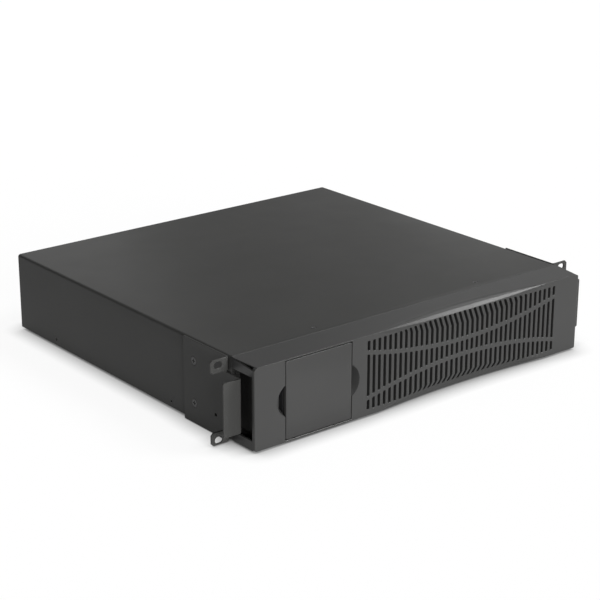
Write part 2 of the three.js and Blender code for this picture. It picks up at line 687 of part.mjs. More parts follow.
function batteryDoor() {
  const { x0, x1, z0, z1, front, back } = DOOR;
  const { shankRadius, z } = DOOR_SCREW;
  const holes = doorScrewXs.map(
    (x) => cylinderY(shankRadius + GAP, front - CUT, back + CUT, x, z, HOLE_SIDES),
  );
  addSolid('battery_door', block(x0, x1, front, back, z0, z1).subtract(join(holes)), POWDER_COAT);
}

function doorScrews() {
  const { headRadius, headDepth, shankRadius, length, z } = DOOR_SCREW;
  ['left', 'right'].forEach((name, index) => {
    const geometry = turned([
      [0, -length],
      [shankRadius, -length],
      [shankRadius, GAP],
      [headRadius, GAP],
      [headRadius, headDepth],
      [0, headDepth],
    ]);
    const mesh = addMesh(`door_screw_${name}`, geometry, ZINC_STEEL);
    mesh.position.set(doorScrewXs[index], DOOR.front, z);
    mesh.rotation.x = QUARTER;
  });
}

function batteryTray() {
  const { x0, x1, y0, y1, z0, z1, sheet } = TRAY;
  const hollow = block(x0 + sheet, x1 - sheet, y0 + sheet, y1 - sheet, z0 + sheet, z1 + CUT);
  addSolid('battery_tray', block(x0, x1, y0, y1, z0, z1).subtract(hollow), ZINC_STEEL);
}

function batteries() {
  const { length, width, height, firstY, pitch, z, cornerRadius } = BATTERY;
  const { inset, halfWidth, setBack, sheet } = BATTERY_TAB;
  const left = (TRAY.x0 + TRAY.x1 - length) / 2;
  const right = left + length;
  const top = z + height;
  ['front', 'middle', 'rear'].forEach((name, index) => {
    const y = firstY + index * pitch;
    let solid = extrudeZ(roundedRect(left, right, y, y + width, cornerRadius), z, top);
    for (const x of [left + inset, right - inset]) {
      const front = y + setBack;
      const tip = top + BATTERY_TAB.height;
      solid = solid.add(block(x - halfWidth, x + halfWidth, front, front + sheet, top - CUT, tip));
    }
    addSolid(`battery_${name}`, solid, BATTERY_CASE);
  });
}

// ---------------------------------------------------------------- electronics

function mainBoard() {
  const { x0, x1, y0, y1, z0, z1 } = BOARD;
  addSolid('main_board', block(x0, x1, y0, y1, z0, z1), GREEN_BOARD);
}

function heatSink(name, x) {
  const { width, y0, y1, base, height, fins, fin } = HEAT_SINK;
  const parts = [block(x, x + width, y0, y1, ON_BOARD, ON_BOARD + base)];
  const pitch = (width - fin) / (fins - 1);
  for (let index = 0; index < fins; index += 1) {
    const left = x + index * pitch;
    parts.push(block(left, left + fin, y0, y1, ON_BOARD, ON_BOARD + height));
  }
  addSolid(name, join(parts), ALUMINIUM);
}

function transformer() {
  const { x, y, width, depth, height, leg, window, yoke } = CORE;
  const z0 = ON_BOARD;
  const z1 = ON_BOARD + height;
  const y0 = y - depth / 2;
  const y1 = y + depth / 2;
  let core = block(x - width / 2, x + width / 2, y0, y1, z0, z1);
  for (const side of [-1, 1]) {
    const inner = x + side * leg;
    const outer = x + side * (leg + window);
    const left = Math.min(inner, outer);
    core = core.subtract(block(left, left + window, y0 - CUT, y1 + CUT, z0 + yoke, z1 - yoke));
  }
  addSolid('transformer_core', core, FERRITE);
  const reach = leg + window - GAP;
  const bottom = z0 + yoke + GAP;
  const top = z1 - yoke - GAP;
  const bulge = depth / 2 + COIL.overhang;
  const outline = roundedRect(x - reach, x + reach, y - bulge, y + bulge, COIL.cornerRadius);
  const winding = extrudeZ(outline, bottom, top);
  const bobbin = block(x - leg - GAP, x + leg + GAP, y0 - GAP, y1 + GAP, bottom - CUT, top + CUT);
  addSolid('transformer_coil', winding.subtract(bobbin), COPPER);
}

function outputChoke() {
  const { x, y, outer, inner, height, bevel, sides } = CHOKE;
  const geometry = turned([
    [inner, bevel],
    [inner + bevel, 0],
    [outer - bevel, 0],
    [outer, bevel],
    [outer, height - bevel],
    [outer - bevel, height],
    [inner + bevel, height],
    [inner, height - bevel],
    [inner, bevel],
  ], sides);
  const mesh = addMesh('output_choke', geometry, COPPER);
  mesh.position.set(x, y, ON_BOARD);
}

function busCapacitors() {
  const { count, x, firstY, pitch, radius, height, lip } = CAPACITOR;
  for (let index = 0; index < count; index += 1) {
    const geometry = turned([
      [0, 0],
      [radius, 0],
      [radius, height - lip],
      [radius - lip, height],
      [0, height],
    ], ROUND_SIDES);
    const mesh = addMesh(`bus_capacitor_${index + 1}`, geometry, BLUE_SLEEVE);
    mesh.position.set(x, firstY + index * pitch, ON_BOARD);
  }
}

function relay(name, x) {
  const { width, depth, height, y, cornerRadius } = RELAY;
  const outline = roundedRect(x, x + width, y, y + depth, cornerRadius);
  addSolid(name, extrudeZ(outline, ON_BOARD, ON_BOARD + height), BLACK_PLASTIC);
}

function controlBoard() {
  const { x, thickness, y0, y1, z1 } = CONTROL_BOARD;
  const face = x + thickness;
  const plate = block(x, face, y0, y1, ON_BOARD, z1);
  const chip = block(face - CHIP.sunk, face + CHIP.height, CHIP.y0, CHIP.y1, CHIP.z0, CHIP.z1);
  addSolid('control_board', plate.add(chip), GREEN_BOARD);
}

// ---------------------------------------------------------------- fans

const FAN_BACK = REAR.front - GAP;
const FAN_FRONT = FAN_BACK - FAN.depth;

function fanFrame(name, x) {
  const { size, bore, hub, z, cornerRadius, strutDepth, strutHalfWidth } = FAN;
  const half = size / 2;
  const reach = bore + CUT;
  const outline = roundedRect(x - half, x + half, z - half, z + half, cornerRadius);
  const passage = cylinderY(bore, FAN_FRONT - CUT, FAN_BACK + CUT, x, z, ROUND_SIDES);
  const strutY = FAN_BACK - strutDepth;
  addSolid(name, join([
    extrudeY(outline, FAN_FRONT, FAN_BACK).subtract(passage),
    cylinderY(hub, strutY, FAN_BACK, x, z, ROUND_SIDES),
    block(x - reach, x + reach, strutY, FAN_BACK, z - strutHalfWidth, z + strutHalfWidth),
    block(x - strutHalfWidth, x + strutHalfWidth, strutY, FAN_BACK, z - reach, z + reach),
  ]), BLACK_PLASTIC);
}

function fanRotor(name, x) {
  const { hub, z, rotorFront, rotorBack } = FAN;
  const { count, reach, overlap, width, sheet, tilt } = BLADE;
  const front = FAN_FRONT + rotorFront;
  const back = FAN_BACK - rotorBack;
  const root = hub - overlap;
  const length = reach - root;
  const blades = [];
  for (let index = 0; index < count; index += 1) {
    const geometry = new THREE.BoxGeometry(width, sheet, length);
    geometry.rotateZ(tilt);
    geometry.translate(0, (front + back) / 2, root + length / 2);
    geometry.rotateY(index * 2 * Math.PI / count);
    blades.push(toSolid(geometry.translate(x, 0, z)));
  }
  const swept = cylinderY(reach, front, back, x, z, ROUND_SIDES);
  const centre = cylinderY(hub, front, back, x, z, ROUND_SIDES);
  addSolid(name, join(blades).intersect(swept).add(centre), BLACK_PLASTIC);
}

function fanGuard(name, x) {
  const { rings, wire, spokes, reach } = GUARD;
  const y0 = CASE.back + GAP;
  const y1 = y0 + wire;
  const parts = [];
  for (const radius of rings) {
    const ring = cylinderY(radius + wire / 2, y0, y1, x, FAN.z);
    const inside = cylinderY(radius - wire / 2, y0 - CUT, y1 + CUT, x, FAN.z);
    parts.push(ring.subtract(inside));
  }
  for (let index = 0; index < spokes; index += 1) {
    const angle = QUARTER / 2 + index * QUARTER;
    const spoke = new THREE.BoxGeometry(reach - rings[0], wire, wire);
    spoke.translate((reach + rings[0]) / 2, (y0 + y1) / 2, 0);
    parts.push(toSolid(spoke.rotateY(angle).translate(x, 0, FAN.z)));
  }
  addSolid(name, join(parts), ZINC_STEEL);
}

// ---------------------------------------------------------------- rear connectors

// A body that passes through the rear panel, with a flange on the outside. Sizes are half sizes.
function flangedBody(x, z, bodySize, flangeSize, depth) {
  const [bodyX, bodyZ] = bodySize;
  const [flangeX, flangeZ] = flangeSize;
  const outline = roundedRect(x - flangeX, x + flangeX, z - flangeZ, z + flangeZ, FLANGE_RADIUS);
  const flange = extrudeY(outline, SOCKET_FACE, SOCKET_FRONT);
  const rear = SOCKET_FACE + CUT;
  return flange.add(block(x - bodyX, x + bodyX, SOCKET_FACE - depth, rear, z - bodyZ, z + bodyZ));
}

function powerInlet() {
  const { x, z, width, height, depth, cavity, wall, flangeX, flangeZ } = INLET;
  const floor = SOCKET_FRONT - cavity;
  const bodySize = [width / 2 + wall, height / 2 + wall];
  const mouth = roundedRect(x - width / 2, x + width / 2, z - height / 2, z + height / 2, MOUTH_RADIUS);
  let solid = flangedBody(x, z, bodySize, [flangeX, flangeZ], depth);
  solid = solid.subtract(extrudeY(mouth, floor, SOCKET_FRONT + CUT));
  for (const [pinX, pinZ] of [[-PIN.spacing, -PIN.z], [PIN.spacing, -PIN.z], [0, PIN.z]]) {
    const left = x + pinX - PIN.width / 2;
    const bottom = z + pinZ - PIN.height / 2;
    const tip = floor + PIN.length;
    solid = solid.add(block(left, left + PIN.width, floor - CUT, tip, bottom, bottom + PIN.height));
  }
  addSolid('power_inlet', solid, BLACK_PLASTIC);
}

// The groove and the three contact slots of one outlet.
function outletCuts(x, z, kind) {
  const { width, height, moat, slotWidth, slotHeight } = kind;
  const floor = SOCKET_FRONT - MOAT.depth;
  const past = SOCKET_FRONT + CUT;
  const outerX = width / 2 - MOAT.edge;
  const outerZ = height / 2 - MOAT.edge;
  const coreX = width / 2 - moat;
  const coreZ = height / 2 - moat;
  const outline = roundedRect(x - outerX, x + outerX, z - outerZ, z + outerZ, MOUTH_RADIUS);
  const outer = extrudeY(outline, floor, past);
  const core = block(x - coreX, x + coreX, floor - CUT, past + CUT, z - coreZ, z + coreZ);
  const cuts = [outer.subtract(core)];
  const spacing = 2 * coreX * CONTACTS.spread;
  const places = [[-spacing, CONTACTS.liveZ], [spacing, CONTACTS.liveZ], [0, CONTACTS.earthZ]];
  for (const [slotX, slotZ] of places) {
    const left = x + slotX - slotWidth / 2;
    const bottom = z + slotZ - slotHeight / 2;
    cuts.push(block(left, left + slotWidth, floor, past, bottom, bottom + slotHeight));
  }
  return join(cuts);
}

function outletBank(name, z) {
  const { columns, pitch, firstX, height, moat, flangeEdge } = OUTLET;
  const middle = firstX + pitch * (columns - 1) / 2;
  const bodySize = [columns * pitch / 2, (height + moat) / 2];
  const flangeSize = bodySize.map((half) => half + flangeEdge);
  let solid = flangedBody(middle, z, bodySize, flangeSize, SOCKET_DEPTH);
  for (let column = 0; column < columns; column += 1) {
    solid = solid.subtract(outletCuts(firstX + column * pitch, z, OUTLET));
  }
  addSolid(name, solid, BLACK_PLASTIC);
}

function largeOutlet() {
  const { x, z, width, height, flangeX, flangeZ } = LARGE_OUTLET;
  const solid = flangedBody(x, z, [width / 2, height / 2], [flangeX, flangeZ], SOCKET_DEPTH);
  addSolid('outlet_large', solid.subtract(outletCuts(x, z, LARGE_OUTLET)), BLACK_PLASTIC);
}

function breakerBody() {
  const { x, z, body, neck, bore, nut, nutSides, back, reach, boreDepth } = BREAKER;
  const inside = REAR.front - GAP;
  const hollow = cylinderY(bore, reach - boreDepth, reach + CUT, x, z, ROUND_SIDES);
  const solid = join([
    cylinderY(body, back, inside, x, z, ROUND_SIDES),
    cylinderY(neck, back, reach, x, z, ROUND_SIDES),
    cylinderY(nut, SOCKET_FACE, SOCKET_FRONT, x, z, nutSides),
  ]);
  addSolid('breaker_body', solid.subtract(hollow), BLACK_PLASTIC);
}

function breakerButton() {
  const { x, z, button, reach, buttonDepth, buttonReach } = BREAKER;
  const solid = cylinderY(button, reach - buttonDepth, reach + buttonReach, x, z, ROUND_SIDES);
  addSolid('breaker_button', solid, BUTTON_GREY);
}

function slotCover() {
  const { x0, x1, z0, z1, border, screwRadius, screwReach } = SLOT_COVER;
  let solid = block(x0, x1, SOCKET_FACE, SOCKET_FACE + CASE.sheet, z0, z1);
  for (const x of [x0 + border, x1 - border]) {
    solid = solid.add(cylinderY(screwRadius, SOCKET_FACE, SOCKET_FACE + screwReach, x, (z0 + z1) / 2));
  }
  addSolid('comm_slot_cover', solid, POWDER_COAT);
}

function signalPorts() {
  const { x0, x1, z0, z1, back, boardFront, face, z } = PORTS;
  const { inset, halfHeight, root, mouthDepth } = TONGUE;
  let solid = block(x0, x1, back, boardFront, z0, z1);
  for (const { x, width, height } of [SERIAL_PORT, USB_PORT, TERMINAL_PORT]) {
    const halfX = width / 2;
    const halfZ = height / 2;
    const mouthX = halfX - CUT;
    const mouthZ = halfZ - CUT;
    const tongueX = halfX - inset;
    const shell = block(x - halfX, x + halfX, boardFront - CUT, face, z - halfZ, z + halfZ);
    const mouth = block(x - mouthX, x + mouthX, face - mouthDepth, face + CUT, z - mouthZ, z + mouthZ);
    const tongue = block(x - tongueX, x + tongueX, face - root, face - CUT, z - halfHeight, z + halfHeight);
    solid = solid.add(shell.subtract(mouth)).add(tongue);
  }
  addSolid('signal_port_board', solid, BLACK_PLASTIC);
}

function batteryConnector() {
  const { x, z, width, height, depth, cell, wall, flangeEdge } = BATTERY_PLUG;
  const { bladeInset, bladeLift, bladeSetBack, bladeSheet } = BATTERY_PLUG;
  const bodySize = [width / 2, height / 2];
  let solid = flangedBody(x, z, bodySize, bodySize.map((half) => half + flangeEdge), depth);
  const floor = SOCKET_FRONT - depth + wall;
  const bottom = z - height / 2 + wall;
  const top = z + height / 2 - wall;
  const bladeZ = bottom + bladeLift;
  const tip = SOCKET_FRONT - bladeSetBack;
  for (const side of [-1, 1]) {
    const left = x + side * width / 4 - cell / 2;
    const right = left + cell;
    solid = solid.subtract(block(left, right, floor, SOCKET_FRONT + CUT, bottom, top));
    const blade = block(left + bladeInset, right - bladeInset, floor - CUT, tip, bladeZ, bladeZ + bladeSheet);
    solid = solid.add(blade);
  }
  addSolid('battery_connector', solid, BLACK_PLASTIC);
}

// ---------------------------------------------------------------- build

topCover();
coverScrews();
basePan();
frontPlate();
rearPanel();
frontBezel();
displayCover();
displayFrame();
displayScreen();
displayBoard();
panelButtons();
rackEar('rack_ear_left', -1);
rackEar('rack_ear_right', 1);
earScrews();
feet();
batteryDoor();
doorScrews();
batteryTray();
batteries();
mainBoard();
transformer();
outputChoke();
busCapacitors();
controlBoard();
['left', 'right'].forEach((name, index) => {
  heatSink(`heat_sink_${name}`, HEAT_SINK.xs[index]);
  relay(`relay_${name}`, RELAY.xs[index]);
  fanFrame(`fan_frame_${name}`, FAN.xs[index]);
  fanRotor(`fan_rotor_${name}`, FAN.xs[index]);
  fanGuard(`fan_guard_${name}`, FAN.xs[index]);
});
powerInlet();
breakerBody();
breakerButton();
['upper', 'lower'].forEach((name, index) => outletBank(`outlet_bank_${name}`, OUTLET.rows[index]));
largeOutlet();
slotCover();
signalPorts();
batteryConnector();

const bounds = new THREE.Box3().setFromObject(assembly);
assembly.position.set(-(bounds.min.x + bounds.max.x) / 2, -(bounds.min.y + bounds.max.y) / 2, -bounds.min.z);

const upsUnit = new THREE.Group();
upsUnit.add(assembly);
export default upsUnit;
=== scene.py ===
import json
from math import acos, cos, pi, radians, sin, sqrt

import bmesh
import bpy
from mathutils import Matrix, Vector
from mathutils.geometry import delaunay_2d_cdt


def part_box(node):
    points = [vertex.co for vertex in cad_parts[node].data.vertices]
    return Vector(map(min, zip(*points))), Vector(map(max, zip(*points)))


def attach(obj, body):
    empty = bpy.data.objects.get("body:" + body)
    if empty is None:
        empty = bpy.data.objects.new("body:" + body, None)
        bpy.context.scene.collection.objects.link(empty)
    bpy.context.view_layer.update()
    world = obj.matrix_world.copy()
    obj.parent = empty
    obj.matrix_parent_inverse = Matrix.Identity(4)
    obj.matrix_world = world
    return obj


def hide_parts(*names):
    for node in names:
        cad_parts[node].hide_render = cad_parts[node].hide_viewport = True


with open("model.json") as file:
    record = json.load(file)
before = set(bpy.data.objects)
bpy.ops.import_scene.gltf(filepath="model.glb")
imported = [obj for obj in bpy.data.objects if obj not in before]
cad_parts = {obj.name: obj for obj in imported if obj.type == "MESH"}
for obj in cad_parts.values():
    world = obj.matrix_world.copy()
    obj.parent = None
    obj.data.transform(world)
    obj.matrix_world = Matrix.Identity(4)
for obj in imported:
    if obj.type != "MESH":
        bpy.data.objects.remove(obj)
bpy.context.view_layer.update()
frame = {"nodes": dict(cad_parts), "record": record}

# ---------- layout
# Pieces are laid out in millimetres with the front face at y = 0 and the underside of the case at z = 0.
# finish_piece() turns each mesh into metres in the row frame, and place() does the same for single points.

MM = 0.001
FRONT_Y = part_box("front_bezel")[0].y
BASE_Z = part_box("top_cover")[0].z


def place(x, y, z):
    return Vector((x * MM, FRONT_Y + y * MM, BASE_Z + z * MM))


# ---------- materials

TONE_SCALE, TONE_DETAIL, TONE_RANGE = 14.0, 4.0, (0.35, 0.65)
GLOSS_SCALE, GLOSS_DETAIL, GLOSS_RANGE = 25.0, 3.0, (0.3, 0.7)
GLOSS_DRIFT = 0.015
GRAIN_DETAIL = 2.0
GRAIN_RELIEF = 0.2


def socket(material, name):
    return material.node_tree.nodes["Principled BSDF"].inputs[name]


def new_material(name, colour, roughness, specular, metallic=0.0):
    material = bpy.data.materials.new(name)
    material.use_nodes = True
    socket(material, "Base Color").default_value = (*colour, 1.0)
    socket(material, "Roughness").default_value = roughness
    socket(material, "Metallic").default_value = metallic
    socket(material, "Specular IOR Level").default_value = specular
    return material


def add_node(material, kind, **values):
    node = material.node_tree.nodes.new(kind)
    for key, value in values.items():
        if key in node.inputs:
            node.inputs[key].default_value = value
        else:
            setattr(node, key, value)
    return node


def object_noise(material, scale, detail):
    """Noise in the object's own metres, so its grain has a real size."""
    coords = add_node(material, "ShaderNodeTexCoord")
    noise = add_node(material, "ShaderNodeTexNoise", Scale=scale, Detail=detail)
    material.node_tree.links.new(coords.outputs["Object"], noise.inputs["Vector"])
    return noise


def add_grain(material, grain, strength):
    """Fine surface relief. The grain's size is in millimetres."""
    links = material.node_tree.links
    noise = object_noise(material, 1 / (grain * MM), GRAIN_DETAIL)
    bump = add_node(material, "ShaderNodeBump", Strength=strength, Distance=grain * MM * GRAIN_RELIEF)
    links.new(noise.outputs["Fac"], bump.inputs["Height"])
    links.new(bump.outputs["Normal"], socket(material, "Normal"))


def add_tone_drift(material, low, high):
    """Colour that drifts slowly between two tones."""
    links = material.node_tree.links
    noise = object_noise(material, TONE_SCALE, TONE_DETAIL)
    ramp = add_node(material, "ShaderNodeValToRGB")
    for element, position, colour in zip(ramp.color_ramp.elements, TONE_RANGE, (low, high)):
        element.position = position
        element.color = (*colour, 1)
    links.new(noise.outputs["Fac"], ramp.inputs["Fac"])
    links.new(ramp.outputs["Color"], socket(material, "Base Color"))


def add_gloss_drift(material, roughness):
    """Roughness that drifts slowly a little to both sides."""
    links = material.node_tree.links
    noise = object_noise(material, GLOSS_SCALE, GLOSS_DETAIL)
    spread = add_node(material, "ShaderNodeMapRange")
    spread.inputs["From Min"].default_value, spread.inputs["From Max"].default_value = GLOSS_RANGE
    spread.inputs["To Min"].default_value = roughness - GLOSS_DRIFT
    spread.inputs["To Max"].default_value = roughness + GLOSS_DRIFT
    links.new(noise.outputs["Fac"], spread.inputs["Value"])
    links.new(spread.outputs["Result"], socket(material, "Roughness"))


def tone(colour, factor):
    return tuple(channel * factor for channel in colour)


def grained(name, colour, roughness, grain, strength, spread=0.03, metallic=0.0, specular=0.5):
    """A moulded or coated surface with fine grain and a slight drift in tone and gloss."""
    material = new_material(name, colour, roughness, specular, metallic)
    add_tone_drift(material, tone(colour, 1 - spread), tone(colour, 1 + spread))
    add_grain(material, grain, strength)
    add_gloss_drift(material, roughness)
    return material


# Colour, roughness, the grain's size in millimetres and its strength, drift in tone, metallic and specular.
SURFACES = {
    "powder_coat": ((0.0335, 0.0335, 0.0325), 0.36, 0.45, 0.10, 0.03, 0.0, 0.07),
    "bezel_plastic": ((0.029, 0.029, 0.0286), 0.34, 0.3, 0.06, 0.03, 0.0, 0.17),
    "black_plastic": ((0.013, 0.013, 0.014), 0.45, 0.3, 0.12),
    "zinc_steel": ((0.56, 0.57, 0.58), 0.38, 1.2, 0.05, 0.10, 1.0),
    "screw_steel": ((0.035, 0.035, 0.035), 0.35, 0.2, 0.08, 0.1, 0.6),
    "aluminium": ((0.62, 0.63, 0.65), 0.36, 0.4, 0.06, 0.05, 1.0),
    "rubber": ((0.016, 0.016, 0.016), 0.8, 0.35, 0.25),
    "board": ((0.012, 0.10, 0.045), 0.35, 1.5, 0.08, 0.2),
    "copper": ((0.45, 0.17, 0.07), 0.3, 0.5, 0.2, 0.15, 0.9),
    "ferrite": ((0.035, 0.034, 0.033), 0.6, 0.3, 0.2),
    "screen_glass": ((0.008, 0.011, 0.014), 0.08, 2.0, 0.01, 0.05),
    "battery_case": ((0.03, 0.033, 0.04), 0.5, 0.4, 0.15),
    "sleeve": ((0.02, 0.05, 0.16), 0.3, 0.6, 0.08),
    "button_grey": ((0.26, 0.27, 0.28), 0.5, 0.3, 0.1),
}
MATERIALS = {name: grained(name, *values) for name, values in SURFACES.items()}
NODE_SLOTS = {part["node"]: part["material_slot"] for part in frame["record"]["subparts"]}
for node_name, node_object in frame["nodes"].items():
    node_object.data.materials.clear()
    node_object.data.materials.append(MATERIALS[NODE_SLOTS[node_name]])

# ---------- mesh building
# Meshes are built in layout millimetres and finished in metres. Outlines run anticlockwise.

SHARPEST_MITRE = 0.3
SAME_POINT = 1e-4
ON_LINE = 0.01


def circle(x, y, radius, count):
    angles = [2 * pi * index / count for index in range(count)]
    return [(x + radius * cos(angle), y + radius * sin(angle)) for angle in angles]


def round_slot(x, y, half, radius):
    """A slot with round ends along the first axis."""
    left = circle(x - half, y, radius, 24)
    right = circle(x + half, y, radius, 24)
    return left[6:19] + right[18:] + right[:7]


def rectangle(x0, x1, y0, y1):
    return [(x0, y0), (x1, y0), (x1, y1), (x0, y1)]


def centred(x, y, across, up):
    """A rectangle that reaches this far to each side of its centre."""
    return rectangle(x - across, x + across, y - up, y + up)


def round_corners(points, radius, steps=3):
    """The same outline with each corner replaced by a short curve that starts radius away from it."""
    result = []
    for index, corner in enumerate(points):
        corner = Vector(corner)
        before = Vector(points[index - 1]) - corner
        after = Vector(points[(index + 1) % len(points)]) - corner
        start = corner + before.normalized() * min(radius, before.length / 2.01)
        end = corner + after.normalized() * min(radius, after.length / 2.01)
        for step in range(steps + 1):
            t = step / steps
            point = start * (1 - t) ** 2 + corner * 2 * t * (1 - t) + end * t ** 2
            result.append((point.x, point.y))
    return result


def rounded_rectangle(x0, x1, y0, y1, radius, steps=3):
    return round_corners(rectangle(x0, x1, y0, y1), radius, steps)


def shift_outline(points, distance):
    """The outline moved outwards by the distance."""
    result = []
    for index, point in enumerate(points):
        a = Vector(points[index - 1])
        b = Vector(point)
        c = Vector(points[(index + 1) % len(points)])
        first = (b - a).normalized()
        second = (c - b).normalized()
        normal_a = Vector((first.y, -first.x))
        normal_b = Vector((second.y, -second.x))
        mitre = (normal_a + normal_b) / max(SHARPEST_MITRE, 1 + normal_a.dot(normal_b))
        result.append(tuple(b + mitre * distance))
    return result


def inside_outline(point, outline):
    x, y = point
    inside = False
    for index, (x1, y1) in enumerate(outline):
        x0, y0 = outline[index - 1]
        if (y0 > y) != (y1 > y) and x < x0 + (y - y0) * (x1 - x0) / (y1 - y0):
            inside = not inside
    return inside


def flat_triangles(outer, holes, lines):
    """Points and triangles of the outline less its holes, with edges along the extra lines."""
    points, edges = [], []
    for loop in [outer, *holes]:
        first = len(points)
        points.extend(Vector(point) for point in loop)
        edges.extend((first + index, first + (index + 1) % len(loop)) for index in range(len(loop)))
    for line in lines:
        first = len(points)
        points.extend(Vector(point) for point in line)
        edges.extend((first + index, first + index + 1) for index in range(len(line) - 1))
    points, _, faces, _, _, _ = delaunay_2d_cdt(points, edges, [], 0, SAME_POINT)
    boxes = [
        (min(p[0] for p in hole), max(p[0] for p in hole), min(p[1] for p in hole), max(p[1] for p in hole))
        for hole in holes
    ]
    kept = []
    for face in faces:
        a, b, c = (points[index] for index in face)
        centre = (a + b + c) / 3
        if not inside_outline(centre, outer):
            continue
        in_hole = any(
            x0 < centre.x < x1 and y0 < centre.y < y1 and inside_outline(centre, hole)
            for hole, (x0, x1, y0, y1) in zip(holes, boxes)
        )
        if not in_hole:
            turn = (b - a).cross(c - a)
            kept.append(tuple(face) if turn > 0 else tuple(reversed(face)))
    return points, kept


def boundary_normals(points, faces):
    """The open edges, and each open point's direction away from the material."""
    open_edges = set()
    for face in faces:
        for index in range(3):
            open_edges.add((face[index - 1], face[index]))
    open_edges = [(a, b) for a, b in open_edges if (b, a) not in open_edges]
    normals = {}
    for a, b in open_edges:
        along = (points[b] - points[a]).normalized()
        normal = Vector((along.y, -along.x))
        for index in (a, b):
            normals.setdefault(index, []).append(normal)
    directions = {}
    for index, found in normals.items():
        share = max(SHARPEST_MITRE, 1 + found[0].dot(found[-1])) if len(found) == 2 else len(found)
        directions[index] = sum(found, Vector((0, 0))) / share
    return open_edges, directions


def on_outline(point, outline):
    for index, end in enumerate(outline):
        a, b = Vector(outline[index - 1]), Vector(end)
        along = b - a
        t = max(0.0, min(1.0, (point - a).dot(along) / max(along.length_squared, 1e-9)))
        if (a + along * t - point).length < ON_LINE:
            return True
    return False


def add_face(bm, corners):
    """A face through the corners. Repeated corners count once, and fewer than three make no face."""
    corners = list(dict.fromkeys(corners))
    if len(corners) > 2:
        bm.faces.new(corners)


def plate(bm, outer, holes, surface, depth, edge=0.0, outer_edge=None, lines=(), skin=None):
    """A closed plate. surface(u, v, d) is the point d below its face, and depth its thickness or a function
    that gives it. The rims are chamfered by edge, the outer one by outer_edge. skin marks the front faces."""
    outer_edge = edge if outer_edge is None else outer_edge
    face_outline = shift_outline(outer, -outer_edge) if outer_edge else outer
    face_holes = [shift_outline(hole, edge) if edge else hole for hole in holes]
    points, faces = flat_triangles(face_outline, face_holes, lines)
    open_edges, directions = boundary_normals(points, faces)
    depth_at = depth if callable(depth) else lambda u, v: depth
    used = {index for face in faces for index in face}
    front, back, upper, lower = {}, {}, {}, {}
    for index in used:
        u, v = points[index]
        front[index] = bm.verts.new(surface(u, v, 0))
        back[index] = bm.verts.new(surface(u, v, depth_at(u, v)))
    on_outer = set()
    if edge != outer_edge:
        on_outer = {index for index in directions if on_outline(points[index], face_outline)}
    for index, direction in directions.items():
        size = outer_edge if index in on_outer else edge
        if not size:
            upper[index], lower[index] = front[index], back[index]
            continue
        u, v = points[index] + direction * size
        upper[index] = bm.verts.new(surface(u, v, size))
        lower[index] = bm.verts.new(surface(u, v, depth_at(u, v) - size))
    for face in faces:
        made = bm.faces.new([front[index] for index in face])
        if skin is not None:
            made[skin] = 1
        bm.faces.new([back[index] for index in reversed(face)])
    for a, b in open_edges:
        for top, bottom in ((front, upper), (upper, lower), (lower, back)):
            add_face(bm, [top[b], top[a], bottom[a], bottom[b]])


def facing_front(y):
    """Points of a plate whose face looks to the front at this depth: u is X and v is Z."""
    return lambda u, v, d: (u, y + d, v)


def facing_back(y):
    """The same for a face that looks to the back: u is -X."""
    return lambda u, v, d: (-u, y - d, v)


def soften(bm, faces, width):
    """Bevels all the edges of the faces."""
    edges = list({edge for face in faces for edge in face.edges})
    bmesh.ops.bevel(bm, geom=edges, offset=width, segments=2, profile=0.5, affect="EDGES")


def box(bm, x0, x1, y0, y1, z0, z1, bevel):
    """A block with softened edges."""
    x0, x1 = sorted((x0, x1))
    z0, z1 = sorted((z0, z1))
    corners = [bm.verts.new((x, y, z)) for z in (z0, z1) for x, y in ((x0, y0), (x1, y0), (x1, y1), (x0, y1))]
    sides = [(0, 3, 2, 1), (4, 5, 6, 7), (0, 1, 5, 4), (1, 2, 6, 5), (2, 3, 7, 6), (3, 0, 4, 7)]
    soften(bm, [bm.faces.new([corners[index] for index in side]) for side in sides], bevel)


def prism(bm, outline, x0, x1, bevel=0.0):
    """An outline of (y, z) points drawn out along X."""
    near = [bm.verts.new((x0, y, z)) for y, z in outline]
    far = [bm.verts.new((x1, y, z)) for y, z in outline]
    made = [bm.faces.new(near), bm.faces.new(list(reversed(far)))]
    for index in range(len(outline)):
        made.append(bm.faces.new([near[index], near[index - 1], far[index - 1], far[index]]))
    if bevel:
        soften(bm, made, bevel)


def turned(bm, profile, count, to_point):
    """A turned solid: profile is (radius, height) pairs that start and end on the axis,
    and to_point(a, b, height) places a point that lies (a, b) off the axis."""
    rings = []
    for radius, height in profile:
        if radius < 1e-6:
            rings.append([bm.verts.new(to_point(0, 0, height))])
        else:
            rings.append([bm.verts.new(to_point(a, b, height)) for a, b in circle(0, 0, radius, count)])
    for lower, upper in zip(rings, rings[1:]):
        for index in range(count):
            ahead = index + 1
            near = [lower[index % len(lower)], lower[ahead % len(lower)]]
            far = [upper[ahead % len(upper)], upper[index % len(upper)]]
            add_face(bm, near + far)


def tube(bm, path, radius, closed, count=10):
    """A round wire along the path, a list of Vectors."""
    rings = []
    last = len(path) - 1
    for index, point in enumerate(path):
        if closed:
            along = path[(index + 1) % len(path)] - path[index - 1]
        else:
            along = path[min(index + 1, last)] - path[max(index - 1, 0)]
        along.normalize()
        side = along.cross(Vector((0, 1, 0)) if abs(along.y) < 0.9 else Vector((1, 0, 0))).normalized()
        up = side.cross(along)
        rings.append([bm.verts.new(point + side * a + up * b) for a, b in circle(0, 0, radius, count)])
    pairs = list(zip(rings, rings[1:])) + ([(rings[-1], rings[0])] if closed else [])
    for first, second in pairs:
        for index in range(count):
            bm.faces.new([first[index], first[index - 1], second[index - 1], second[index]])
    if not closed:
        bm.faces.new(rings[0])
        bm.faces.new(list(reversed(rings[-1])))


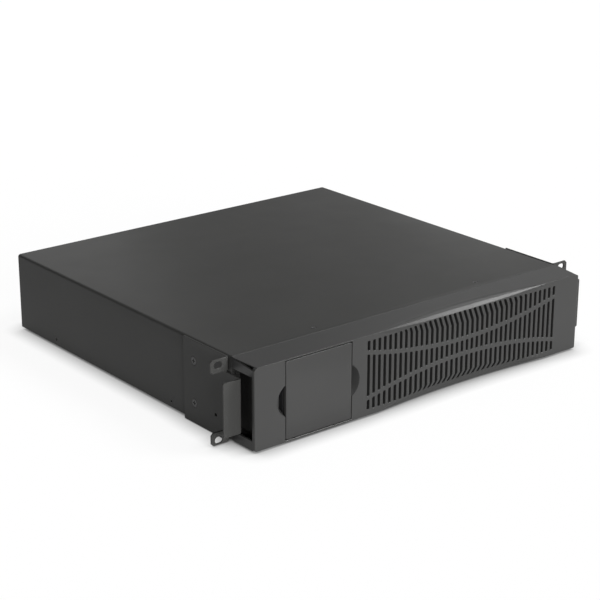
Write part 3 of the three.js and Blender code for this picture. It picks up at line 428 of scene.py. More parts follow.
def append(bm, other):
    """Adds another mesh's faces to this one."""
    copies = {vertex: bm.verts.new(vertex.co) for vertex in other.verts}
    for face in other.faces:
        bm.faces.new([copies[vertex] for vertex in face.verts])
    other.free()


def join_rows(bm, rows):
    """Faces between each row of vertices and the next."""
    for near, far in zip(rows, rows[1:]):
        for index in range(len(near) - 1):
            bm.faces.new([near[index], near[index + 1], far[index + 1], far[index]])


def thicken(patch, thickness):
    bmesh.ops.solidify(patch, geom=patch.faces[:] + patch.edges[:] + patch.verts[:], thickness=thickness)


def finish_piece(bm, name, slot, body, replaced=(), smooth=35.0, normal_at=None, skin=None):
    """Turns the built mesh into a piece that rides on a body. Edges under smooth degrees are shaded smooth,
    and the faces marked in the layer skin take their normals from normal_at."""
    bmesh.ops.recalc_face_normals(bm, faces=bm.faces)
    mesh = bpy.data.meshes.new(name)
    flags = [face[skin] for face in bm.faces] if skin is not None else None
    bm.to_mesh(mesh)
    bm.free()
    custom = skin_normals(mesh, flags, normal_at) if normal_at else None
    mesh.transform(Matrix.Translation((0, FRONT_Y, BASE_Z)) @ Matrix.Scale(MM, 4))
    for polygon in mesh.polygons:
        polygon.use_smooth = True
    mesh.set_sharp_from_angle(angle=radians(smooth))
    if custom:
        mesh.normals_split_custom_set(custom)
    mesh.materials.append(MATERIALS[slot])
    piece = bpy.data.objects.new(name, mesh)
    bpy.context.scene.collection.objects.link(piece)
    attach(piece, body)
    if replaced:
        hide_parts(*replaced)
    return piece


def skin_normals(mesh, flags, normal_at):
    """Exact normals for the flagged faces, taken just inside each corner. A zero keeps a corner's own one."""
    inwards = 0.02
    custom = [(0.0, 0.0, 0.0)] * len(mesh.loops)
    for polygon in mesh.polygons:
        if not flags[polygon.index]:
            continue
        centre = polygon.center
        for loop in polygon.loop_indices:
            point = mesh.vertices[mesh.loops[loop].vertex_index].co
            custom[loop] = tuple(normal_at(point.lerp(centre, inwards)))
    return custom


# ---------- bezel

CASE_SIDE = 219.0
CASE_TOP = 85.0
BEZEL_DEPTH = 35.0
BEZEL_BOTTOM = -0.8
BEZEL_TOP = 83.5
FACE_TOP = 83.1
TOP_SLOPE = (CASE_TOP - BEZEL_TOP) / BEZEL_DEPTH
SIDE_RADIUS = 1.0
CORNER_RADIUS = 3.7
LOWER_RADIUS = 2.6
CORNER_ANGLES = range(0, 91, 15)
FACE_DEPTH = 5.0
LIP_BACK = 3.7
FACE_EDGE = 0.3
TOP_SHEET = 0.9
BOTTOM_FRONT, BOTTOM_TOP = 9.0, 1.7

SCOOP_X = 52.8
SCOOP_HALF = 119.0
SCOOP_STEPS = 48
NO_SCOOP = 1e-4
UPPER_CREASE = 67.2
LOWER_CREASE = 14.2
# Slope of the scooped face, as depth gained for each millimetre of height, at distances past the crease.
UPPER_SLOPES = [(0.0, 0.48), (10.1, 0.50), (10.9, 0.87), (13.5, 0.87), (13.9, 1.30), (16.4, 1.30)]
LOWER_SLOPES = [(0.0, 0.60), (8.4, 0.60), (9.2, 0.18), (15.0, 0.16)]
# Distances past the crease at which an edge runs across the face.
UPPER_LEVELS = (0.0, 5.0, 10.1, 10.5, 10.9, 13.5, 13.7, 13.9, 14.9)
LOWER_LEVELS = (0.0, 4.0, 8.4, 8.8, 9.2, 12.0)
LEVEL_MARGIN = 0.15

GRILLE_X = 51.4
GRILLE_COLUMNS = 38
GRILLE_PITCH = 7.02
SLOT_WIDTH = 3.3
SLOT_BOTTOM = 5.4
SLOT_TOP = 77.6
SLOT_RADIUS = 1.1
RIB_HALF = 2.15
RIB_SWEEP = 15.7 / 130 ** 2
UPPER_RIB = 49.8
LOWER_RIB = 33.2

HEAD_LEFT, HEAD_RIGHT = -181.5, -100.4
HEAD_BOTTOM, HEAD_TOP = 1.5, 81.4
HEAD_X = (HEAD_LEFT + HEAD_RIGHT) / 2
HEAD_Z = (HEAD_BOTTOM + HEAD_TOP) / 2
OPENING = (HEAD_LEFT - 0.7, HEAD_RIGHT + 0.7, HEAD_BOTTOM - 0.8, HEAD_TOP + 0.8)
NOTCH_RADIUS = 18.5
NOTCH_OFFSET = 32.15
NOTCH_DEPTH = 10.0
NOTCH_NARROWING = 5.0
NOTCH_STEPS = 6
NOTCH_SHEET = 1.0

POCKET_FLOOR = 209.0
POCKET_BOTTOM, POCKET_TOP = 9.2, 73.8
POCKET_SHEET = 2.0
POCKET_FRONT = 2.5
LIP_EDGE = POCKET_FLOOR - 1.0
SIDE_SHEET = 2.6
SIDE_FRONT = 3.5


def slope_and_depth(slopes, distance):
    """The slope at this distance past the crease, and the depth gained so far."""
    gained = 0.0
    for (start, first), (end, second) in zip(slopes, slopes[1:]):
        if distance <= end:
            part = max(0.0, distance - start)
            here = first + (second - first) * part / (end - start)
            return here, gained + part * (first + here) / 2
        gained += (end - start) * (first + second) / 2
    return slopes[-1][1], gained + (distance - slopes[-1][0]) * slopes[-1][1]


def scoop_fade(x):
    """How much of the scoop is left at this place across: 1 in its middle and 0 past its ends."""
    return max(0.0, 1 - ((x - SCOOP_X) / SCOOP_HALF) ** 2)


def face_depth(x, z):
    """How far the bezel's front surface lies behind its foremost plane."""
    side = max(0.0, min(1.0, (abs(x) - CASE_SIDE + SIDE_RADIUS) / SIDE_RADIUS))
    depth = SIDE_RADIUS * (1 - sqrt(max(0.0, 1 - side * side)))
    fade = scoop_fade(x)
    if fade > NO_SCOOP:
        up = (BEZEL_TOP - UPPER_CREASE) - (BEZEL_TOP - z) / fade
        if up > 0:
            depth += fade * slope_and_depth(UPPER_SLOPES, up)[1]
        down = (LOWER_CREASE - BEZEL_BOTTOM) - (z - BEZEL_BOTTOM) / fade
        if down > 0:
            depth += fade * slope_and_depth(LOWER_SLOPES, down)[1]
    return depth


def face_normal(point):
    """The front surface's normal, from its slope over a short step to both sides."""
    step = 0.004
    across = (face_depth(point.x + step, point.z) - face_depth(point.x - step, point.z)) / (2 * step)
    up = (face_depth(point.x, point.z + step) - face_depth(point.x, point.z - step)) / (2 * step)
    return Vector((across, -1, up)).normalized()


def face_back(x, z):
    """Thickness of the front wall: full in the middle and thin at the lip in front of the side pockets."""
    return FACE_DEPTH if abs(x) < LIP_EDGE else LIP_BACK - face_depth(x, z)


def scoop_columns():
    return [SCOOP_X + SCOOP_HALF * (2 * index / SCOOP_STEPS - 1) for index in range(SCOOP_STEPS + 1)]


def side_columns():
    """Distances across at which an edge runs up the rounded side of the front."""
    angles = (radians(angle) for angle in CORNER_ANGLES[:-1])
    return [CASE_SIDE - SIDE_RADIUS * (1 - sin(angle)) for angle in angles]


def front_corner(side, level, radius, start):
    """A corner of the front outline: a quarter circle from the start angle, about its centre's height."""
    corner = []
    for step in CORNER_ANGLES:
        angle = radians(start + step)
        across = CASE_SIDE - radius + radius * cos(angle)
        corner.append((side * across, level + radius * sin(angle)))
    return corner


def face_outline():
    """The edge of the bezel's front, with rounded corners."""
    low = [front_corner(side, BEZEL_BOTTOM + LOWER_RADIUS, LOWER_RADIUS, -90) for side in (-1, 1)]
    high = [front_corner(side, FACE_TOP - CORNER_RADIUS, CORNER_RADIUS, 0) for side in (-1, 1)]
    bottom = [(x, BEZEL_BOTTOM) for x in scoop_columns()]
    top = [(x, FACE_TOP) for x in reversed(scoop_columns())]
    return low[0][::-1] + bottom + low[1] + high[1] + top + high[0][::-1]


def slot_levels(x):
    """Heights at which a column's three slots start and end. The ribs between them bend apart."""
    bend = RIB_SWEEP * (x - GRILLE_X) ** 2
    lower, upper = LOWER_RIB - bend, UPPER_RIB + bend
    return [SLOT_BOTTOM, lower - RIB_HALF, lower + RIB_HALF, upper - RIB_HALF, upper + RIB_HALF, SLOT_TOP]


def grille_slots():
    outlines = []
    for column in range(GRILLE_COLUMNS):
        x = GRILLE_X + (column - (GRILLE_COLUMNS - 1) / 2) * GRILLE_PITCH
        left, right = x - SLOT_WIDTH / 2, x + SLOT_WIDTH / 2
        at_left, at_right = slot_levels(left), slot_levels(right)
        for low in (0, 2, 4):
            corners = [(left, at_left[low]), (right, at_right[low])]
            corners += [(right, at_right[low + 1]), (left, at_left[low + 1])]
            outlines.append(round_corners(corners, SLOT_RADIUS, 2))
    return outlines


def notch_arc(side, radius, chord_x):
    """The part of a finger notch's circle that lies outside the square cover, from bottom to top."""
    centre_x = HEAD_X + side * NOTCH_OFFSET
    reach = acos(abs(chord_x - centre_x) / radius)
    steps = 20
    arc = []
    for index in range(steps + 1):
        angle = reach * (2 * index / steps - 1)
        arc.append((centre_x + side * radius * cos(angle), HEAD_Z + radius * sin(angle)))
    return arc


def opening_outline():
    """The opening round the square cover, with its two finger notches."""
    left, right, bottom, top = OPENING
    outline = [(left, bottom), (right, bottom)]
    outline += notch_arc(1, NOTCH_RADIUS, right)
    outline += [(right, top), (left, top)]
    outline += reversed(notch_arc(-1, NOTCH_RADIUS, left))
    return outline


def level_lines():
    """Edges across the scoops and up the rounded sides that keep the curved surface smooth."""
    lines = []
    columns = scoop_columns()
    for distance in UPPER_LEVELS:
        line = [(x, BEZEL_TOP - (BEZEL_TOP - UPPER_CREASE - distance) * scoop_fade(x)) for x in columns]
        lines.append([point for point in line if point[1] < FACE_TOP - LEVEL_MARGIN])
    for distance in LOWER_LEVELS:
        line = [(x, BEZEL_BOTTOM + (LOWER_CREASE - BEZEL_BOTTOM - distance) * scoop_fade(x)) for x in columns]
        lines.append([point for point in line if point[1] > BEZEL_BOTTOM + LEVEL_MARGIN])
    low, high = BEZEL_BOTTOM + LOWER_RADIUS + 0.2, FACE_TOP - CORNER_RADIUS - 0.2
    for side in (-1, 1):
        for x in side_columns():
            lines.append([(side * x, low), (side * x, high)])
        lines.append([(side * LIP_EDGE, BEZEL_BOTTOM + ON_LINE), (side * LIP_EDGE, FACE_TOP - ON_LINE)])
    return [line for line in lines if len(line) > 1]


def top_edge_rows(x):
    """Section of the bezel's top at one place across: the rounding above the front face, then the top."""
    start = Vector((face_depth(x, FACE_TOP), FACE_TOP))
    fade = scoop_fade(x)
    slope = 0.0
    if fade > NO_SCOOP:
        up = (BEZEL_TOP - UPPER_CREASE) - (BEZEL_TOP - FACE_TOP) / fade
        if up > 0:
            slope = slope_and_depth(UPPER_SLOPES, up)[0]
    along = Vector((slope, 1.0))
    rise = (BEZEL_TOP + TOP_SLOPE * start.x - start.y) / (1 - TOP_SLOPE * slope)
    corner = start + along * rise
    flat = Vector((1.0, TOP_SLOPE)).normalized()
    end = corner + flat * (corner - start).length
    steps, run_out = 4, 0.8
    rows = []
    for step in range(steps + 1):
        t = step / steps
        rows.append(start * (1 - t) ** 2 + corner * 2 * t * (1 - t) + end * t ** 2)
    rows.append(end + flat * run_out)
    return rows


def bezel_top(bm):
    """The top wall and its rounded front edge. Its sides run out to the case behind the two corners."""
    patch = bmesh.new()
    columns = [-CASE_SIDE + CORNER_RADIUS, *scoop_columns(), CASE_SIDE - CORNER_RADIUS]
    grid = []
    for x in columns:
        column = [patch.verts.new((x, row.x, row.y)) for row in top_edge_rows(x)]
        back_x = x * CASE_SIDE / (CASE_SIDE - CORNER_RADIUS)
        column.append(patch.verts.new((back_x, BEZEL_DEPTH, CASE_TOP)))
        grid.append(column)
    for left, right in zip(grid, grid[1:]):
        for row in range(len(left) - 1):
            patch.faces.new([left[row], right[row], right[row + 1], left[row + 1]])
    bmesh.ops.recalc_face_normals(patch, faces=patch.faces)
    top_face = max(patch.faces, key=lambda face: face.calc_area())
    if top_face.normal.z < 0:
        bmesh.ops.reverse_faces(patch, faces=patch.faces)
    thicken(patch, TOP_SHEET)
    append(bm, patch)


def bezel_sides(bm):
    """The side strips above and below each finger pocket, and the walls round the pocket."""
    strip_top = FACE_TOP - CORNER_RADIUS + 0.9
    roof_top = POCKET_TOP + POCKET_SHEET
    back = BEZEL_DEPTH
    upper = [(SIDE_FRONT, POCKET_TOP), (back, POCKET_TOP), (back, CASE_TOP - 1.0), (SIDE_FRONT, strip_top)]
    lower = rectangle(SIDE_FRONT, back, BEZEL_BOTTOM, POCKET_BOTTOM)
    wall_bottom, wall_gap = POCKET_TOP + 1, 0.6
    wall = [
        (POCKET_FRONT, wall_bottom), (back, wall_bottom), (back, CASE_TOP - wall_gap),
        (POCKET_FRONT, BEZEL_TOP - wall_gap),
    ]
    for side in (-1, 1):
        outside = side * CASE_SIDE
        inside = side * (CASE_SIDE - SIDE_SHEET)
        prism(bm, upper, inside, outside)
        prism(bm, lower, inside, outside, 0.35)
        floor = side * POCKET_FLOOR
        deep = side * (POCKET_FLOOR - POCKET_SHEET)
        box(bm, deep, floor, POCKET_FRONT, back, 1.0, roof_top, 0.2)
        box(bm, floor - side * 0.5, floor + side * 1.3, 4.0, back, POCKET_BOTTOM - 1.2, POCKET_BOTTOM, 0.25)
        box(bm, deep, side * (CASE_SIDE - 1.5), POCKET_FRONT, back, POCKET_TOP, roof_top, 0.2)
        prism(bm, wall, side * (CASE_SIDE - 7), side * (CASE_SIDE - 5.5))


def bezel_notches(bm):
    """The dished finger notches on both sides of the square cover, each with a closed bottom."""
    left, right = OPENING[:2]
    for side, chord in ((-1, left), (1, right)):
        patch = bmesh.new()
        rows = []
        for step in range(NOTCH_STEPS + 1):
            radius = NOTCH_RADIUS - 0.1 - NOTCH_NARROWING * step / NOTCH_STEPS
            y = 0.5 + NOTCH_DEPTH * step / NOTCH_STEPS
            rows.append([patch.verts.new((x, y, z)) for x, z in notch_arc(side, radius, chord)])
        join_rows(patch, rows)
        bmesh.ops.recalc_face_normals(patch, faces=patch.faces)
        patch.faces.ensure_lookup_table()
        if patch.faces[0].normal.y > 0:
            bmesh.ops.reverse_faces(patch, faces=patch.faces)
        thicken(patch, NOTCH_SHEET)
        append(bm, patch)
        bottom = notch_arc(side, NOTCH_RADIUS, chord)[::side]
        plate(bm, bottom, [], facing_front(NOTCH_DEPTH), 1.5)


def build_bezel():
    bm = bmesh.new()
    skin = bm.faces.layers.int.new("skin")
    holes = [opening_outline(), *grille_slots()]
    plate(
        bm, face_outline(), holes, lambda u, v, d: (u, face_depth(u, v) + d, v), face_back,
        edge=FACE_EDGE, outer_edge=0.0, lines=level_lines(), skin=skin,
    )
    bezel_top(bm)
    reach = CASE_SIDE - 0.4
    box(bm, -reach, reach, BOTTOM_FRONT, BEZEL_DEPTH, BEZEL_BOTTOM + 0.05, BOTTOM_TOP, 0.2)
    bezel_sides(bm)
    bezel_notches(bm)
    finish_piece(
        bm, "bezel_moulding", "bezel_plastic", "bezel", ["front_bezel"],
        normal_at=face_normal, skin=skin,
    )


# ---------- sheet metal

COVER_FRONT, COVER_BACK = 35.3, 429.0
COVER_SHEET = 1.2
COVER_RADIUS = 3.0
COVER_RISE = CASE_TOP - COVER_RADIUS
COVER_ARC = COVER_RADIUS * pi / 2
COVER_ACROSS = 2 * (CASE_SIDE - COVER_RADIUS)
COVER_LENGTH = 2 * (COVER_RISE + COVER_ARC) + COVER_ACROSS
COVER_SCREW_X, COVER_SCREW_Y = 110.0, 47.0
COVER_SCREW_HOLE = 3.1
RIVET_Z, RIVET_YS, RIVET_HOLE = 6.7, (136.2, 354.5), 1.25

EAR_SCREW_Y = 93.3
EAR_SCREW_ZS = (19.2, 63.2)
EAR_SCREW_HOLE = 4.15
EAR_BACK = 110.5
EAR_FRONT, HANDLE_FRONT = 38.0, 18.0
EAR_INSIDE = CASE_SIDE + 0.3
EAR_SHEET = 2.0
EAR_RADIUS = 3.5
EAR_ARC = EAR_RADIUS * pi / 2
EAR_FLANGE = 18.5
EAR_BOTTOM, EAR_TOP = -2.3, 84.6
LOWER_TAB_TOP, UPPER_TAB_BOTTOM, TAB_CHAMFER = 11.0, 70.9, 2.5
GRIP_BOTTOM, GRIP_TOP, GRIP_CHAMFER = 13.0, 68.5, 1.2
GRIP_REACH = (12.0, 69.7)
RACK_SLOT_X, RACK_SLOT_ZS = 232.4, (2.6, 78.9)
RACK_SLOT_HALF, RACK_SLOT_RADIUS = 1.31, 3.39
PILOT_Y, PILOT_Z, PILOT_HOLE = 58.2, 18.7, 1.6


def cover_point(s, y, d):
    """A point of the cover's sheet: s runs up the right side, over the top and down the left side."""
    side = 1 if s < COVER_LENGTH / 2 else -1
    s = min(s, COVER_LENGTH - s)
    if s <= COVER_RISE:
        return (side * (CASE_SIDE - d), y, s)
    if s < COVER_RISE + COVER_ARC:
        angle = (s - COVER_RISE) / COVER_RADIUS
        reach = COVER_RADIUS - d
        across = CASE_SIDE - COVER_RADIUS + reach * cos(angle)
        return (side * across, y, COVER_RISE + reach * sin(angle))
    return (side * (CASE_SIDE - COVER_RADIUS - (s - COVER_RISE - COVER_ARC)), y, CASE_TOP - d)


def build_cover():
    bm = bmesh.new()
    side_holes = [(RIVET_Z, y, RIVET_HOLE) for y in RIVET_YS] + [(z, EAR_SCREW_Y, 2.3) for z in EAR_SCREW_ZS]
    holes = []
    for z, y, radius in side_holes:
        holes.append(circle(z, y, radius, 20))
        holes.append(circle(COVER_LENGTH - z, y, radius, 20))
    for x in (-COVER_SCREW_X, COVER_SCREW_X):
        holes.append(circle(COVER_LENGTH / 2 - x, COVER_SCREW_Y, COVER_SCREW_HOLE, 28))
    lines = []
    bend_steps = 4
    for step in range(bend_steps + 1):
        bend = COVER_RISE + COVER_ARC * step / bend_steps
        for s in (bend, COVER_LENGTH - bend):
            lines.append([(s, COVER_FRONT - 1), (s, COVER_BACK + 1)])
    outline = rectangle(0, COVER_LENGTH, COVER_FRONT, COVER_BACK)
    plate(bm, outline, holes, cover_point, COVER_SHEET, edge=0.2, lines=lines)
    finish_piece(bm, "cover_sheet", "powder_coat", "chassis", ["top_cover"])


def ear_surface(side):
    """Points of a rack ear's sheet: s runs forward from its back edge and round the bend into the flange."""

    def surface(s, z, d):
        front = HANDLE_FRONT if GRIP_REACH[0] < z < GRIP_REACH[1] else EAR_FRONT
        straight = EAR_BACK - front - EAR_RADIUS
        if s <= straight:
            return (side * (EAR_INSIDE + d), EAR_BACK - s, z)
        if s < straight + EAR_ARC:
            angle = (s - straight) / EAR_RADIUS
            reach = EAR_RADIUS - d
            x = EAR_INSIDE + EAR_RADIUS - reach * cos(angle)
            return (side * x, front + EAR_RADIUS - reach * sin(angle), z)
        return (side * (EAR_INSIDE + EAR_RADIUS + s - straight - EAR_ARC), front + d, z)

    return surface


def ear_outline():
    """The ear's sheet laid flat: a rack tab at the bottom and the top, and the handle between them."""
    notch = EAR_BACK - EAR_FRONT - EAR_RADIUS
    tab = notch + EAR_ARC + EAR_FLANGE
    grip = tab + EAR_FRONT - HANDLE_FRONT
    edge = []
    for end, low, high, chamfer in (
        (tab, EAR_BOTTOM, LOWER_TAB_TOP, TAB_CHAMFER),
        (grip, GRIP_BOTTOM, GRIP_TOP, GRIP_CHAMFER),
        (tab, UPPER_TAB_BOTTOM, EAR_TOP, TAB_CHAMFER),
    ):
        edge += [(notch, low), (end - chamfer, low), (end, low + chamfer)]
        edge += [(end, high - chamfer), (end - chamfer, high), (notch, high)]
    return [(0, EAR_BOTTOM), *edge[1:-1], (0, EAR_TOP)]


def build_ear(name, side):
    bm = bmesh.new()
    notch = EAR_BACK - EAR_FRONT - EAR_RADIUS
    grip = EAR_BACK - HANDLE_FRONT - EAR_RADIUS
    slot = notch + EAR_ARC + RACK_SLOT_X - EAR_INSIDE - EAR_RADIUS
    holes = [circle(EAR_BACK - EAR_SCREW_Y, z, EAR_SCREW_HOLE, 28) for z in EAR_SCREW_ZS]
    holes.append(circle(EAR_BACK - PILOT_Y, PILOT_Z, PILOT_HOLE, 20))
    holes += [round_slot(slot, z, RACK_SLOT_HALF, RACK_SLOT_RADIUS) for z in RACK_SLOT_ZS]
    lines = []
    below, above = GRIP_REACH
    bend_steps = 5
    for step in range(bend_steps + 1):
        bend = EAR_ARC * step / bend_steps
        tab_bend, grip_bend = notch + bend + ON_LINE, grip + bend
        lines.append([(tab_bend, EAR_BOTTOM - 1.7), (tab_bend, below)])
        lines.append([(tab_bend, above), (tab_bend, EAR_TOP + 1.4)])
        lines.append([(grip_bend, below + 0.2), (grip_bend, above - 0.2)])
    plate(bm, ear_outline(), holes, ear_surface(side), EAR_SHEET, edge=0.3, lines=lines)
    finish_piece(bm, name, "powder_coat", "chassis", [name.replace("_sheet", "")])


# ---------- screws

# Radius of the head, depth of the head and radius of the shank.
COVER_SCREW = (2.8, 1.3, 1.5)
EAR_SCREW = (4.0, 2.0, 2.0)
SCREW_LENGTH = 6.0
SCREW_RECESS = 0.7
SCREW_TIP = 0.5
SCREW_SUNK = 0.05


def cross_outline(reach, half):
    """A cross: the driver recess of a screw head."""
    quarter = [(reach, -half), (reach, half), (half, half)]
    outline = []
    for turn in range(4):
        c, s = round(cos(turn * pi / 2)), round(sin(turn * pi / 2))
        outline += [(x * c - y * s, x * s + y * c) for x, y in quarter]
    return outline


def build_screw(name, node, to_point, size):
    """A countersunk screw. to_point(a, b, h) places a point h above the face of its head."""
    head, depth, shank = size
    bm = bmesh.new()
    recess = cross_outline(head * 0.52, head * 0.13)
    face = circle(0, 0, head, 28)
    plate(bm, face, [recess], lambda a, b, d: to_point(a, b, -d), SCREW_RECESS + 0.1, edge=0.1)
    profile = [
        (0, -SCREW_RECESS), (head - 0.1, -SCREW_RECESS), (shank, -depth), (shank, SCREW_TIP - SCREW_LENGTH),
        (shank - SCREW_TIP, -SCREW_LENGTH), (0, -SCREW_LENGTH),
    ]
    turned(bm, profile, 28, to_point)
    finish_piece(bm, name, "screw_steel", "chassis", [node])


def build_screws():
    top = CASE_TOP - SCREW_SUNK
    outside = EAR_INSIDE + EAR_SHEET - SCREW_SUNK
    for side_name, side in (("left", -1), ("right", 1)):
        x = side * COVER_SCREW_X
        build_screw(
            f"cover_screw_head_{side_name}", f"cover_screw_{side_name}",
            lambda a, b, h, x=x: (x + a, COVER_SCREW_Y + b, top + h), COVER_SCREW,
        )
        for level, z in zip(("lower", "upper"), EAR_SCREW_ZS):
            build_screw(
                f"ear_screw_head_{side_name}_{level}", f"ear_screw_{side_name}_{level}",
                lambda a, b, h, z=z, side=side: (side * (outside + h), EAR_SCREW_Y + a, z + b), EAR_SCREW,
            )


# ---------- display cover and buttons

HEAD_RADIUS, HEAD_SHEET, HEAD_EDGE = 1.4, 2.2, 0.45
RIM_WIDTH, RIM_FRONT, RIM_DEPTH = 2.0, 1.6, 3.0
BUTTON_OFFSETS = {"left": -18.0, "middle": 0.0, "right": 18.0}
BUTTON_Z = 18.0
BREAKER_X, BREAKER_Z = -190.0, 22.0


def build_display_cover():
    """The square cover: a face plate and the rim behind it."""
    bm = bmesh.new()
    outline = rounded_rectangle(HEAD_LEFT, HEAD_RIGHT, HEAD_BOTTOM, HEAD_TOP, HEAD_RADIUS, 4)
    plate(bm, outline, [], facing_front(0.0), HEAD_SHEET, edge=HEAD_EDGE)
    inner = rounded_rectangle(
        HEAD_LEFT + RIM_WIDTH, HEAD_RIGHT - RIM_WIDTH, HEAD_BOTTOM + RIM_WIDTH, HEAD_TOP - RIM_WIDTH, 0.8,
    )
    plate(bm, shift_outline(outline, -0.05), [inner], facing_front(RIM_FRONT), RIM_DEPTH, edge=0.25)
    finish_piece(bm, "display_cover_moulding", "bezel_plastic", "cover", ["display_cover"], smooth=50.0)


def build_buttons():
    profile = [
        (0, 3.4), (2.4, 3.45), (3.5, 3.75), (4.0, 4.3), (4.2, 5.2), (4.2, 8.5), (5.3, 8.5), (5.5, 8.7),
        (5.5, 9.8), (5.3, 10), (4.2, 10), (4.2, 12.1), (3.9, 12.4), (0, 12.4),
    ]
    for name, offset in BUTTON_OFFSETS.items():
        bm = bmesh.new()
        turned(bm, profile, 32, lambda a, b, h, x=HEAD_X + offset: (x + a, h, BUTTON_Z + b))
        finish_piece(bm, f"button_cap_{name}", "button_grey", f"button_{name}", [f"panel_button_{name}"])
    bm = bmesh.new()
    profile = [
        (0, 435), (2.4, 434.9), (3.4, 434.5), (3.9, 433.7), (4, 432.6), (4, 421.4), (3.6, 421), (0, 421),
    ]
    turned(bm, profile, 32, lambda a, b, h: (BREAKER_X + a, h, BREAKER_Z + b))
    finish_piece(bm, "breaker_plunger", "button_grey", "breaker", ["breaker_button"])


# ---------- feet and fans

FOOT_XS = {"left": -190.0, "right": 190.0}
FOOT_YS = {"front": 75.0, "rear": 395.0}

FAN_XS = {"left": 80.0, "right": 165.0}
FAN_Z = 42.5
FAN_FRONT, FAN_BACK = 402.5, 427.5
FAN_HALF, FAN_CORNER, FAN_FLANGE = 40.0, 4.0, 4.0
FAN_SCREW, FAN_SCREW_HOLE = 35.75, 2.2
FAN_BORE, FAN_HUB = 38.0, 16.0
HUB_PLATE, SPOKE_HALF = 3.0, 2.0

GUARD_Y = 430.3
GUARD_RINGS, GUARD_WIRE, GUARD_ARM = (12, 24, 36), 0.95, 0.9
EYE_AT, EYE_RADIUS, EYE_HOLE, EYE_Y, EYE_SHEET = 47.6, 2.35, 1.2, 429.35, 1.7

BLADES, BLADE_ROWS, BLADE_STEPS = 7, 6, 8
BLADE_ROOT, BLADE_TIP = 15.0, FAN_BORE - 2.2
BLADE_CHORD, BLADE_SHEET = 16.4, 1.4
ROOT_TILT, TILT_LOSS = 0.86, 0.32
BLADE_BULGE, BULGE_OFFSET, BLADE_SWEEP = 1.7, 0.8, 0.006


def build_feet():
    profile = [
        (0, -0.3), (8.9, -0.3), (9, -0.5), (8.8, -1.4), (8.2, -2.5), (7.9, -2.85), (7.4, -3.0),
        (3.6, -3.0), (3.2, -2.8), (3.0, -1.6), (0, -1.6),
    ]
    for side, x in FOOT_XS.items():
        for end, y in FOOT_YS.items():
            bm = bmesh.new()
            turned(bm, profile, 40, lambda a, b, h, x=x, y=y: (x + a, y + b, h))
            finish_piece(bm, f"rubber_{end}_{side}", "rubber", "chassis", [f"foot_{end}_{side}"])


def build_fan_guard(name, x):
    bm = bmesh.new()
    for radius in GUARD_RINGS:
        path = [Vector((px, GUARD_Y, pz)) for px, pz in circle(x, FAN_Z, radius, 56)]
        tube(bm, path, GUARD_WIRE, True)
    for quarter in range(4):
        angle = radians(45 + 90 * quarter)
        along = Vector((cos(angle), 0, sin(angle)))
        centre = Vector((x, GUARD_Y - 0.02, FAN_Z))
        tube(bm, [centre + along * reach for reach in (11.5, 24, 36, 46.5)], GUARD_ARM, False)
        eye = centre + along * EYE_AT
        rim, hole = circle(eye.x, eye.z, EYE_RADIUS, 24), circle(eye.x, eye.z, EYE_HOLE, 16)
        plate(bm, rim, [hole], facing_front(EYE_Y), EYE_SHEET, edge=0.25)
    finish_piece(bm, f"{name}_wires", "zinc_steel", "chassis", [name])


def build_fan_rotor(name, x, body):
    bm = bmesh.new()
    front, back = FAN_FRONT + 2, FAN_BACK - 4
    profile = [
        (0, front), (13.5, front), (15.3, front + 0.6), (FAN_HUB, front + 2.2), (FAN_HUB, back - 1.2),
        (15, back - 0.2), (9, back), (8.4, back - 0.5), (0, back - 0.5),
    ]
    turned(bm, profile, 48, lambda a, b, h: (x + a, h, FAN_Z + b))
    middle = (front + back) / 2
    for blade in range(BLADES):
        patch = bmesh.new()
        rows = []
        for ring in range(BLADE_ROWS + 1):
            radius = BLADE_ROOT + (BLADE_TIP - BLADE_ROOT) * ring / BLADE_ROWS
            tilt = ROOT_TILT - TILT_LOSS * ring / BLADE_ROWS
            sweep = BLADE_SWEEP * (radius - BLADE_ROOT)
            row = []
            for step in range(BLADE_STEPS + 1):
                across = (step / BLADE_STEPS - 0.5) * BLADE_CHORD
                bulge = BLADE_BULGE * (1 - (across / BLADE_CHORD * 2) ** 2) - BULGE_OFFSET
                turn = (across * cos(tilt) - bulge * sin(tilt)) / radius + sweep
                angle = turn + blade * 2 * pi / BLADES
                y = middle + across * sin(tilt) + bulge * cos(tilt)
                point = (x + radius * sin(angle), y, FAN_Z + radius * cos(angle))
                row.append(patch.verts.new(point))
            rows.append(row)
        join_rows(patch, rows)
        thicken(patch, BLADE_SHEET)
        append(bm, patch)
    finish_piece(bm, f"{name}_blades", "black_plastic", body, [name], smooth=40.0)


